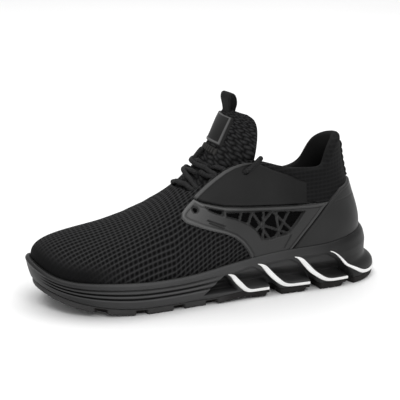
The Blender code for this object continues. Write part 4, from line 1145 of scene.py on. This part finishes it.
def make_outer_wing(plastic):
    """Outer wing: smooth flap with a raised edging along its front, and the top eyelet.

    Its raised edging carries a painted highlight that grows towards the front, and a faint one lies over its
    front part. At its back it is darker and sinks into the cloth.
    """
    turn, rise, x, z = upper_patch(0.15, 0.41, 260, 150, low=0.3)
    height = panel_height(side_distance(x, z, OUTER_WING))
    edging = ease(np.abs(path_distance(x, z, OUTER_WING[:WING_FRONT]) - 1.2), 1.5, 0.6)
    height += EDGING_LIFT * edging * (height > 0)
    height = np.minimum(height, -PANEL_ROOT + (PANEL_TOP + PANEL_ROOT + EDGING_LIFT) * ease(x, 66, 92))
    height = eyelets_out(x, z, height, OUTER_EYELETS[:1])
    # Painted highlight along the edging, stronger ahead, and a faint one over the wing's front
    painted_light = np.maximum(edging * (0.35 + 0.65 * ease(x, 118, 150)), 0.1 * ease(x, 76, 112))
    return add_panel("outer_wing_flap", turn, rise, height, plastic, {"painted_light": painted_light})


def make_inner_cage(plastic):
    """Inner cage: panel with a larger web and four eyelets, painted highlight on its edge and shade in
    grooves.
    """
    turn, rise, x, z = upper_patch(*INNER_PATCH)
    edge = side_distance(x, z, INNER_CAGE)
    grooves = rim_groove(edge, *CAGE_RIM)
    height = webbed(x, z, (INNER_WINDOW,), INNER_STRUTS, panel_height(edge) + grooves)
    height = eyelets_out(x, z, height, INNER_EYELETS)
    # Painted highlight along the edge, and painted shade in the grooves
    painted_light = cage_painted_light(0.18, edge_highlight(edge, x, 0.4), grooves)
    return add_panel("inner_cage_web", turn, rise, height, plastic, {"painted_light": painted_light})


def make_heel_counter(plastic):
    """Heel counter: moulded cup round the heel, with a faint groove along its edge and a seam round it."""
    turn, rise, x, z = upper_patch(0.30, 0.70, 330, 120)
    edge = side_distance(x, z, COUNTER)
    height = panel_height(edge) + rim_groove(edge, *COUNTER_RIM)
    height += trough(path_distance(x, z, COUNTER_SEAM), *SEAM_SECTION) * (edge > 1)
    return add_panel("heel_counter_cup", turn, rise, height, plastic, {})


def make_heel_strip(ribbon):
    """Ribbed strip up the back of the collar: two round rolls side by side, crossed by round ribs."""
    turn, rise = np.meshgrid(np.linspace(0.44, 0.56, 120), np.linspace(0.5, 1, 110))
    points = upper_point(turn, rise)
    y, z = points[..., 1] / MM, points[..., 2] / MM
    half = STRIP_WIDTH / 2
    low, high = STRIP_SPAN
    edge = np.min([half - np.abs(y), z - low, high - z], axis=0)
    rolls = ROLL_HEIGHT * np.sqrt(np.clip(1 - (np.abs(y) / half * 2 - 1) ** 2, 0, 1))
    ribs = RIB_HEIGHT * np.abs(np.cos(math.pi * z / STRIP_RIB))
    height = -PANEL_ROOT + (PANEL_ROOT + STRIP_BASE + rolls + ribs) * ease(edge, -0.5, 0.7)
    return add_panel("heel_strip_rolls", turn, rise, height, ribbon, {})


def make_stripe(name, leaf, turn, white):
    """Inlay along a leaf's upper edge: a domed band on the sole's side, widest on the slope."""
    progress = np.linspace(0, 1, len(turn))
    along = side_ring(turn, np.full(turn.shape, 0.2))[:, 0]
    edge = leaf_top(leaf, along)
    middle = edge - 0.5 * MM - 0.8 * MM * ease(edge, 15 * MM, 9.5 * MM)
    slope = np.abs(leaf_top(leaf, along + MM) - leaf_top(leaf, along - MM)) / (2 * MM)
    width = STRIPE_NARROW + (STRIPE_WIDE - STRIPE_NARROW) * ease(slope, 0, 0.9)
    from_ends = np.minimum(progress, 1 - progress) if name == "heel_stripe" else progress
    half = width / 2 * np.sqrt(1 + slope**2) * (0.25 + 0.75 * ease(from_ends, 0, STRIPE_POINT))
    across = np.linspace(-1, 1, STRIPE_COLUMNS)
    share = side_share(turn[:, None], middle[:, None] + across * half[:, None])
    grid_turn = np.broadcast_to(turn[:, None], share.shape)
    dome = TRIM_GAP + STRIPE_THICK * np.sqrt(np.clip(1 - across**6, 0, 1))
    top = side_ring(grid_turn, share, np.broadcast_to(dome, share.shape))
    base = side_ring(grid_turn, share, -STRIPE_ROOT)
    return add_slab(name, top, base, np.ones((len(turn) - 1, STRIPE_COLUMNS - 1), bool), white, {})


def push_clear(path, points, clear):
    """Move each point of a path away from the nearest of the points, until it is clear of them all."""
    row = np.arange(len(path))
    for _ in range(8):
        away = path[:, None] - points[None]
        distance = np.linalg.norm(away, axis=-1)
        nearest = distance.argmin(axis=1)
        short = np.maximum(clear - distance[row, nearest], 0) / distance[row, nearest]
        path = path + away[row, nearest] * short[:, None]
    return path


def smooth_path(stops, count):
    """Even curve through a few stops."""
    stops = np.asarray(stops, float)
    step = np.append(0, np.cumsum(np.linalg.norm(np.diff(stops, axis=0), axis=1)))
    return spline(step, stops, np.linspace(0, step[-1], count))


def cord_rings(path, round_ends):
    """Rings of a lace along a path, and their place on its braid; round ends shrink as a quarter circle."""
    along = unit(np.gradient(path, axis=0))
    level = unit(np.cross(along, (1, 0, 0.4)))
    up = np.cross(level, along)
    travelled = np.append(0, np.cumsum(np.linalg.norm(np.diff(path, axis=0), axis=1)))
    swell = np.ones(len(path))
    if round_ends:
        from_end = np.minimum(travelled, travelled[-1] - travelled)
        swell = np.sqrt(np.clip(1 - (1 - from_end / LACE_RADIUS).clip(0) ** 2, 0.02, 1))
    angle = 2 * math.pi * np.arange(LACE_SIDES) / LACE_SIDES
    spokes = np.cos(angle)[:, None] * level[:, None] + np.sin(angle)[:, None] * up[:, None]
    rings = path[:, None] + LACE_RADIUS * swell[:, None, None] * spokes
    place = np.stack(np.broadcast_arrays(angle / (2 * math.pi), travelled[:, None] / MM), -1)
    return rings, {"place": place}


def over_inner(x, z, out):
    """Point over the inner side at a side-view place (mm), lifted by out (mm): the nearest of a fine grid."""
    turn, rise, place_x, place_z = upper_patch(*INNER_PATCH, low=0.3)
    nearest = np.unravel_index(np.argmin(np.hypot(place_x - x, place_z - z)), turn.shape)
    return offset_upper(turn[nearest], rise[nearest], out * MM)


def lace_ground():
    """Points all over the tongue's front and the inner cage, for the laces to keep clear of."""
    along, across = np.meshgrid(np.linspace(0.1, 0.75, 160), np.linspace(-1, 1, 90), indexing="ij")
    tongue = tongue_point(along, across, np.zeros(along.shape))
    turn, rise = np.meshgrid(np.linspace(0.80, 0.70, 60), np.linspace(0.6, 1, 60))
    cage = offset_upper(turn, rise, np.full(turn.shape, PANEL_TOP * MM))
    return np.concatenate([tongue.reshape(-1, 3), cage.reshape(-1, 3)])


def make_laces(cord):
    """Laces: strands over the tongue from under the throat's outer edge to the inner eyelets, and two ends.

    A strand is an even curve through its stops, moved clear of the tongue and the inner cage and smoothed.
    It sinks under the outer edge, and into its eyelet on the inner side. One more strand runs up the tongue's
    middle to the keeper.
    """
    cords = []
    solid = lace_ground()
    for outer, crossing, lift, eyelet in LACE_STRANDS:
        crest = tongue_point(np.array([crossing]), np.zeros(1), np.array([-LACE_RADIUS - lift * MM]))[0]
        x, z, _ = INNER_EYELETS[eyelet]
        edge, hole = np.array(outer) * MM, over_inner(x, z + 3, PANEL_TOP + LACE_RADIUS / MM)
        stops = [edge, 0.5 * edge + 0.5 * crest, crest, 0.5 * hole + 0.5 * crest, hole]
        path = push_clear(smooth_path(stops, 110), solid, LACE_RADIUS + 0.1 * MM)
        path = smooth_path([edge + LACE_TUCK, *path[::6], over_inner(x, z, 2.4), over_inner(x, z, -2.5)], 130)
        cords.append(cord_rings(path, False))
    along = np.linspace(0.455, KEEPER_SPAN[0] + 0.01, len(LACE_RISE))
    rise = tongue_point(along, np.zeros(len(along)), -LACE_RADIUS - np.array(LACE_RISE) * MM)
    cords.append(cord_rings(smooth_path(rise, 40), True))
    for stops in LACE_ENDS:
        cords.append(cord_rings(smooth_path(np.array(stops) * MM, 60), True))
    return add_ring_stacks("lace_strands", cords, (cord,), CORD_STEPS)


def label_height(edge):
    """Height of the bare label (mm): a flat field inside a raised frame."""
    frame = FRAME_LIFT * ease(np.abs(edge - FRAME_INSET), 0.9, 0.3)
    return TRIM_EDGE + LABEL_LIFT * ease(edge, 0, 0.5) + frame


def keeper_height(edge):
    """Height of the lace keeper (mm): a band that stands up in the middle, where the lace runs under it."""
    return TRIM_EDGE + KEEPER_LIFT * ease(edge, 0, 0.8)


def add_tongue_trim(name, span, height, material):
    """Trim on the tongue: a patch lifted by a height (mm) that depends on the distance in from its edge."""
    first, last, half = span
    rows, columns = np.linspace(first, last, TRIM_POINTS), np.linspace(-half, half, TRIM_POINTS)
    along, across = np.meshgrid(rows, columns, indexing="ij")
    place = np.stack([across * TONGUE_HALF, along * TONGUE_LENGTH], -1) / MM
    end = np.minimum(along - first, last - along) * TONGUE_LENGTH / MM
    edge = np.minimum(end, (half - np.abs(across)) * TONGUE_HALF / MM)
    top = tongue_point(along, across, -height(edge) * MM)
    base = tongue_point(along, across, np.full(along.shape, TRIM_ROOT * MM))
    shown = {"place": place, "frame": ease(np.abs(edge - FRAME_INSET), 1.0, 0.3)}
    return add_slab(name, top, base, np.ones((TRIM_POINTS - 1, TRIM_POINTS - 1), bool), material, shown)


def make_pull_loop(webbing):
    """Pull loop: a flat band along its side-view path, its section a rounded oblong, turned to the side."""
    path = smooth_path(np.array(LOOP_PATH) * MM, LOOP_STEPS)
    along = unit(np.gradient(path, axis=0))
    angle = 2 * math.pi * np.arange(LOOP_SIDES) / LOOP_SIDES
    wide = np.sign(np.cos(angle)) * np.abs(np.cos(angle)) ** 0.3 * LOOP_WIDTH / 2
    thick = np.sign(np.sin(angle)) * np.abs(np.sin(angle)) ** 0.6 * LOOP_THICK / 2
    middle = np.mean(LOOP_PATH, axis=0)[0] * MM
    ahead = path[:, :1] - along[:, 1:] * thick - middle
    reach = (0.78 + 0.22 * ease(path[:, 1:], 153 * MM, 163 * MM)) * wide
    x = middle + ahead * math.cos(LOOP_TURN) - reach * math.sin(LOOP_TURN)
    y = ahead * math.sin(LOOP_TURN) + reach * math.cos(LOOP_TURN)
    z = path[:, 1:] + along[:, :1] * thick
    travelled = np.linspace(0, LOOP_LENGTH, LOOP_STEPS)[:, None]
    place = np.stack(np.broadcast_arrays(wide / MM, travelled), -1)
    rings = np.stack([x, y, z], -1)
    return add_ring_stacks("webbing_loop", [(rings, {"place": place})], (webbing,), CORD_STEPS)


class Factor:
    """Number from a node's output; arithmetic with it makes math nodes."""

    def __init__(self, tree, output):
        self.tree = tree
        self.output = output

    def step(self, operation, *values):
        """Result of one math node over values that are factors or plain numbers."""
        node = self.tree.nodes.new("ShaderNodeMath")
        node.operation = operation
        for socket, value in zip(node.inputs, values):
            if isinstance(value, Factor):
                self.tree.links.new(value.output, socket)
            else:
                socket.default_value = value
        return Factor(self.tree, node.outputs[0])

    def __add__(self, other):
        return self.step("ADD", self, other)

    def __sub__(self, other):
        return self.step("SUBTRACT", self, other)

    def __rsub__(self, other):
        return self.step("SUBTRACT", other, self)

    def __mul__(self, other):
        return self.step("MULTIPLY", self, other)

    def __pow__(self, power):
        return self.step("POWER", self, power)

    def at_least(self, other):
        """The larger of the two."""
        return self.step("MAXIMUM", self, other)

    def at_most(self, other):
        """The smaller of the two."""
        return self.step("MINIMUM", self, other)

    def wave(self, period):
        """Even wave of a length from 0 to 1: half of one less its cosine."""
        return 0.5 - self.step("COSINE", self * (2 * math.pi / period)) * 0.5


class Finish:
    """Material with one shader, whose nodes give places and values, and shade, roughen and emboss it."""

    def __init__(self, name, roughness, specular):
        self.material = bpy.data.materials.new(name)
        self.material.use_nodes = True
        self.tree = self.material.node_tree
        self.shader = self.tree.nodes["Principled BSDF"]
        self.shader.inputs["Roughness"].default_value = roughness
        self.shader.inputs["Specular IOR Level"].default_value = specular

    def attribute(self, name):
        """Value shown at the mesh's points."""
        node = self.tree.nodes.new("ShaderNodeAttribute")
        node.attribute_name = name
        return Factor(self.tree, node.outputs["Fac"])

    def cloth_place(self):
        """Place on the cloth (mm)."""
        node = self.tree.nodes.new("ShaderNodeUVMap")
        node.uv_map = "place"
        return node.outputs[0]

    def object_place(self):
        """Place on the shoe (m)."""
        return self.tree.nodes.new("ShaderNodeTexCoord").outputs["Object"]

    def lengths(self, place):
        """The three lengths of a place."""
        node = self.tree.nodes.new("ShaderNodeSeparateXYZ")
        self.tree.links.new(place, node.inputs[0])
        return [Factor(self.tree, output) for output in node.outputs]

    def noise(self, place, scale, detail=2.0):
        """Noise from 0 to 1 over a place."""
        node = self.tree.nodes.new("ShaderNodeTexNoise")
        self.tree.links.new(place, node.inputs["Vector"])
        node.inputs["Scale"].default_value = scale
        node.inputs["Detail"].default_value = detail
        return Factor(self.tree, node.outputs["Fac"])

    def shade(self, factor, dark, light):
        """Base colour between two colours by a factor, with the colour sockets of a mix node."""
        node = self.tree.nodes.new("ShaderNodeMix")
        node.data_type = "RGBA"
        self.tree.links.new(factor.output, node.inputs[0])
        node.inputs[6].default_value = (*dark, 1)
        node.inputs[7].default_value = (*light, 1)
        self.tree.links.new(node.outputs[2], self.shader.inputs["Base Color"])

    def roughen(self, factor, low, high):
        """Roughness between two values by a factor."""
        rough = factor * (high - low) + low
        self.tree.links.new(rough.output, self.shader.inputs["Roughness"])

    def emboss(self, height, depth):
        """Bump of that depth from a height of 0 to 1."""
        node = self.tree.nodes.new("ShaderNodeBump")
        node.inputs["Strength"].default_value = 1.0
        node.inputs["Distance"].default_value = depth
        self.tree.links.new(height.output, node.inputs["Height"])
        self.tree.links.new(node.outputs[0], self.shader.inputs["Normal"])


def waffle_knit():
    """Black waffle knit: painted shade in its pits, painted highlight on its crests, painted shadow at
    openings.
    """
    finish = Finish("waffle knit", 0.85, 0.08)
    place = finish.cloth_place()
    along, across, _ = finish.lengths(place)
    rows = across.wave(KNIT_ROW)
    cell = along.wave(KNIT_PITCH) ** 0.6 * 0.85 + 0.15
    waffled = 1 - finish.attribute("bare")
    ridge = 1 - rows**0.6 * cell * waffled
    # Painted highlight along the crests of the rows
    crest_highlight = (1 - rows) ** 5 * waffled * (finish.noise(place, 0.9) * 1.8 - 0.4)
    lit = ridge**1.6 * (waffled * 0.85 + 0.15) * 0.42 + crest_highlight.at_least(0) * 0.4
    finish.shade(lit * (1 - finish.attribute("shadow")), KNIT_PIT, KNIT_RIDGE)
    finish.emboss(ridge, 0.8 * MM)
    return finish.material


def dash_knit():
    """Tongue knit: puffed grains with a painted highlight, painted shade in the gaps, and a fuzz on the
    grains.
    """
    finish = Finish("dash knit", 0.85, 0.08)
    puff = finish.attribute("puff")
    fuzz = finish.noise(finish.cloth_place(), 1.3)
    # Painted highlight on the grains, painted shade in the gaps between
    finish.shade(puff**1.6 * (fuzz * 1.3 + 0.1), KNIT_PIT, TONGUE_RIDGE)
    finish.emboss(fuzz * 0.4 + puff, 0.5 * MM)
    return finish.material


def lining_cloth(name, light):
    """Smooth brushed lining: close fine weave."""
    finish = Finish(name, 0.9, 0.06)
    place = finish.object_place()
    finish.shade(finish.noise(place, 60), tuple(0.6 * value for value in light), light)
    finish.emboss(finish.noise(place, 900), 0.12 * MM)
    return finish.material


def painted_light_plastic(name, dark, light, specular, roughness):
    """Satin moulded plastic with a painted highlight along its edges: fine grain in height and gloss."""
    finish = Finish(name, roughness, specular)
    place = finish.object_place()
    grain = finish.noise(place, PLASTIC_GRAIN, 3)
    # Lighter by the painted light: painted highlight on edges and tip, painted shade in the grooves
    finish.shade(finish.attribute("painted_light") * 0.9 + finish.noise(place, 35) * 0.1, dark, light)
    finish.roughen(grain, roughness - 0.08, roughness + 0.1)
    finish.emboss(grain, 0.04 * MM)
    return finish.material


def counter_plastic():
    """Satin plastic of the heel counter: fine grain in height and gloss, and a slow change of shade."""
    finish = Finish("counter plastic", 0.42, 0.2)
    place = finish.object_place()
    grain = finish.noise(place, PLASTIC_GRAIN, 3)
    finish.shade(finish.noise(place, 45), COUNTER_DARK, COUNTER_LIGHT)
    finish.roughen(grain, 0.34, 0.54)
    finish.emboss(grain, 0.04 * MM)
    return finish.material


def sole_foam():
    """Moulded sole: satin charcoal skin; painted shade at toe and heel, painted light and shade in its
    recesses.
    """
    finish = Finish("moulded sole", 0.45, 0.2)
    place = finish.object_place()
    grain = finish.noise(place, 1100, 3)
    ahead = finish.lengths(place)[0]
    # Painted shade towards the toe and the heel
    ends = ((ahead - 0.02) ** 2 * 28).at_most(0.5)
    shown = finish.noise(place, 40) * 0.2 + 0.48 - ends
    # Painted light in the hollows, painted shade in the grooves and pocket, painted highlight on the lips
    shown = shown + finish.attribute("hollow") * 0.3 - finish.attribute("groove") * 0.35
    finish.shade(shown.at_least(0), SOLE_DARK, SOLE_LIGHT)
    finish.roughen(grain, 0.38, 0.55)
    finish.emboss(grain, 0.05 * MM)
    return finish.material


def tread_rubber():
    """Matt pebbled tread rubber: charcoal under the ball, brown-black under the heel, painted shade in the
    notches.
    """
    finish = Finish("tread rubber", 0.7, 0.15)
    place = finish.object_place()
    pebble = finish.noise(place, 700, 3)
    ahead = finish.lengths(place)[0]
    shown = finish.noise(place, 70) * 0.2 + (ahead * 22 + 0.2).at_least(0).at_most(0.4)
    # Painted shade in the notches
    finish.shade(shown * (1 - finish.attribute("notch")), PAD_BROWN, SOLE_LIGHT)
    finish.roughen(pebble, 0.6, 0.85)
    finish.emboss(pebble, 0.12 * MM)
    return finish.material


def white_inlay():
    """White inlay: clean smooth plastic with a trace of handling."""
    finish = Finish("white inlay", 0.35, 0.4)
    place = finish.object_place()
    finish.shade(finish.noise(place, 90), STRIPE_DULL, STRIPE_WHITE)
    finish.roughen(finish.noise(place, 500), 0.28, 0.42)
    finish.emboss(finish.noise(place, 1200), 0.02 * MM)
    return finish.material


def label_rubber():
    """Dark moulded label with a paler raised frame."""
    finish = Finish("label rubber", 0.5, 0.2)
    grain = finish.noise(finish.object_place(), PLASTIC_GRAIN, 3)
    finish.shade(finish.attribute("frame") * 0.85 + grain * 0.08, LABEL_DARK, FRAME_GREY)
    finish.emboss(grain, 0.05 * MM)
    return finish.material


def braided_cord():
    """Round braided lace: two sets of strands winding opposite ways."""
    finish = Finish("braided cord", 0.7, 0.12)
    place = finish.cloth_place()
    turn, along, _ = finish.lengths(place)
    around = turn * (BRAID_STRANDS * BRAID_PITCH)
    strand = (around + along).wave(BRAID_PITCH).at_least((around - along).wave(BRAID_PITCH))
    finish.shade(strand * finish.noise(place, 0.8), LACE_DARK, LACE_LIGHT)
    finish.emboss(strand, 0.3 * MM)
    return finish.material


def woven_webbing(name, light):
    """Flat woven band: ribs along it, crossed by a fine weft."""
    finish = Finish(name, 0.75, 0.12)
    across, along, _ = finish.lengths(finish.cloth_place())
    height = along.wave(WEBBING_WEFT) * 0.35 + across.wave(WEBBING_RIB)
    finish.shade(height * 0.7, WEBBING_DARK, light)
    finish.emboss(height, 0.3 * MM)
    return finish.material


def ribbed_ribbon():
    """Heel ribbon: close knitted ribs."""
    finish = Finish("ribbed ribbon", 0.75, 0.12)
    place = finish.object_place()
    finish.shade(finish.noise(place, 400), LACE_DARK, RIBBON_LIGHT)
    finish.emboss(finish.noise(place, 1500), 0.15 * MM)
    return finish.material


def pale_floor():
    """Even pale floor."""
    finish = Finish("pale floor", 0.9, 0.1)
    finish.shade(finish.noise(finish.object_place(), 3), FLOOR_DULL, FLOOR_PALE)
    return finish.material


def add_light(name, place, size, power):
    """Soft square lamp that faces the shoe."""
    lamp = bpy.data.lights.new(name, "AREA")
    lamp.shape = "SQUARE"
    lamp.size = size
    lamp.energy = power
    obj = bpy.data.objects.new(name, lamp)
    obj.location = place
    obj.rotation_euler = (Vector(LAMP_AIM) - Vector(place)).to_track_quat("-Z", "Y").to_euler()
    bpy.context.scene.collection.objects.link(obj)


def make_studio():
    """Pale floor, soft lamps and an even pale surround."""
    points = np.array([(-1, -1, 0), (1, -1, 0), (1, 1, 0), (-1, 1, 0)]) * FLOOR_HALF + ORIGIN
    add_mesh("floor", points, [np.arange(4)[None]], (pale_floor(),))
    for lamp in LAMPS:
        add_light(*lamp)
    world = bpy.data.worlds.new("surround")
    world.use_nodes = True
    background = world.node_tree.nodes["Background"]
    background.inputs["Color"].default_value = (1, 1, 1, 1)
    background.inputs["Strength"].default_value = SURROUND
    bpy.context.scene.world = world
    bpy.context.scene.view_settings.view_transform = "Standard"


def make_camera():
    """Camera at the photograph's angle to the shoe, aimed at the shoe's middle."""
    eye, aim = (Vector(place) * MM - Vector(ORIGIN) for place in (CAMERA_EYE, CAMERA_AIM))
    camera = bpy.data.cameras.new("camera")
    camera.lens = CAMERA_LENS
    camera.sensor_width = CAMERA_SENSOR
    obj = bpy.data.objects.new("camera", camera)
    obj.location = eye
    obj.rotation_euler = (eye - aim).to_track_quat("Z", "Y").to_euler()
    bpy.context.scene.collection.objects.link(obj)
    bpy.context.scene.camera = obj


def carry(piece, node):
    """Put a piece in the place of its node."""
    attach(piece, "root")
    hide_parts(node)


def make_stripes(white):
    """White inlays: three on each side, and one right round the last leaf."""
    for number, leaf in enumerate(LEAVES[:-1], 1):
        turn = turn_at(np.linspace(leaf[0] - 1, leaf[3] + 1, STRIPE_STEPS) * MM)
        for side, turns in (("outer", turn), ("inner", 1 - turn)):
            stripe = make_stripe(f"leaf_stripe_{side}_{number}", leaf, turns, white)
            carry(stripe, f"stripe_{side}_{number}")
    start = float(turn_at((LEAVES[-1][0] - 1) * MM))
    turns = np.linspace(start, 1 - start, HEEL_STRIPE_STEPS)
    carry(make_stripe("heel_stripe", LEAVES[-1], turns, white), "stripe_heel")


def main():
    """Camera, studio and all pieces of the shoe, each in the place of its solid."""
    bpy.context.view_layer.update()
    make_camera()
    make_studio()
    cage = painted_light_plastic("cage plastic", CAGE_DARK, CAGE_LIGHT, 0.3, 0.45)
    wing = painted_light_plastic("wing plastic", WING_DARK, WING_LIGHT, 0.15, 0.5)
    carry(make_laces(braided_cord()), "laces")
    tongue = make_tongue(dash_knit())
    carry(tongue, "tongue")
    carry(make_upper(waffle_knit(), lining_cloth("lining", LINING_GREY)), "upper")
    carry(make_midsole(sole_foam()), "midsole")
    carry(make_outsole(tread_rubber()), "outsole")
    carry(make_insole(lining_cloth("insole cloth", INSOLE_GREY)), "insole")
    carry(make_outer_cage(cage), "outer_cage")
    carry(make_outer_wing(wing), "outer_wing")
    carry(make_inner_cage(cage), "inner_cage")
    carry(make_heel_counter(counter_plastic()), "heel_counter")
    carry(make_heel_strip(ribbed_ribbon()), "heel_strip")
    make_stripes(white_inlay())
    label = add_tongue_trim("bare_label", LABEL_SPAN, label_height, label_rubber())
    carry(label, "tongue_label")
    keeper_webbing = woven_webbing("keeper webbing", KEEPER_LIGHT)
    keeper = add_tongue_trim("keeper_band", KEEPER_SPAN, keeper_height, keeper_webbing)
    carry(keeper, "lace_keeper")
    carry(make_pull_loop(woven_webbing("black webbing", LOOP_LIGHT)), "pull_loop")


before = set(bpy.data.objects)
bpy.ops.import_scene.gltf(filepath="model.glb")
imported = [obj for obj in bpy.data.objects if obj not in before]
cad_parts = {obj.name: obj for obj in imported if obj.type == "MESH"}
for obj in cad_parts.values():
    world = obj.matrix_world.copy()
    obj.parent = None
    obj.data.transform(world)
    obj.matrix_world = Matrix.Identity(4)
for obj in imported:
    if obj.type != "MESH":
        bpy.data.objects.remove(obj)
main()
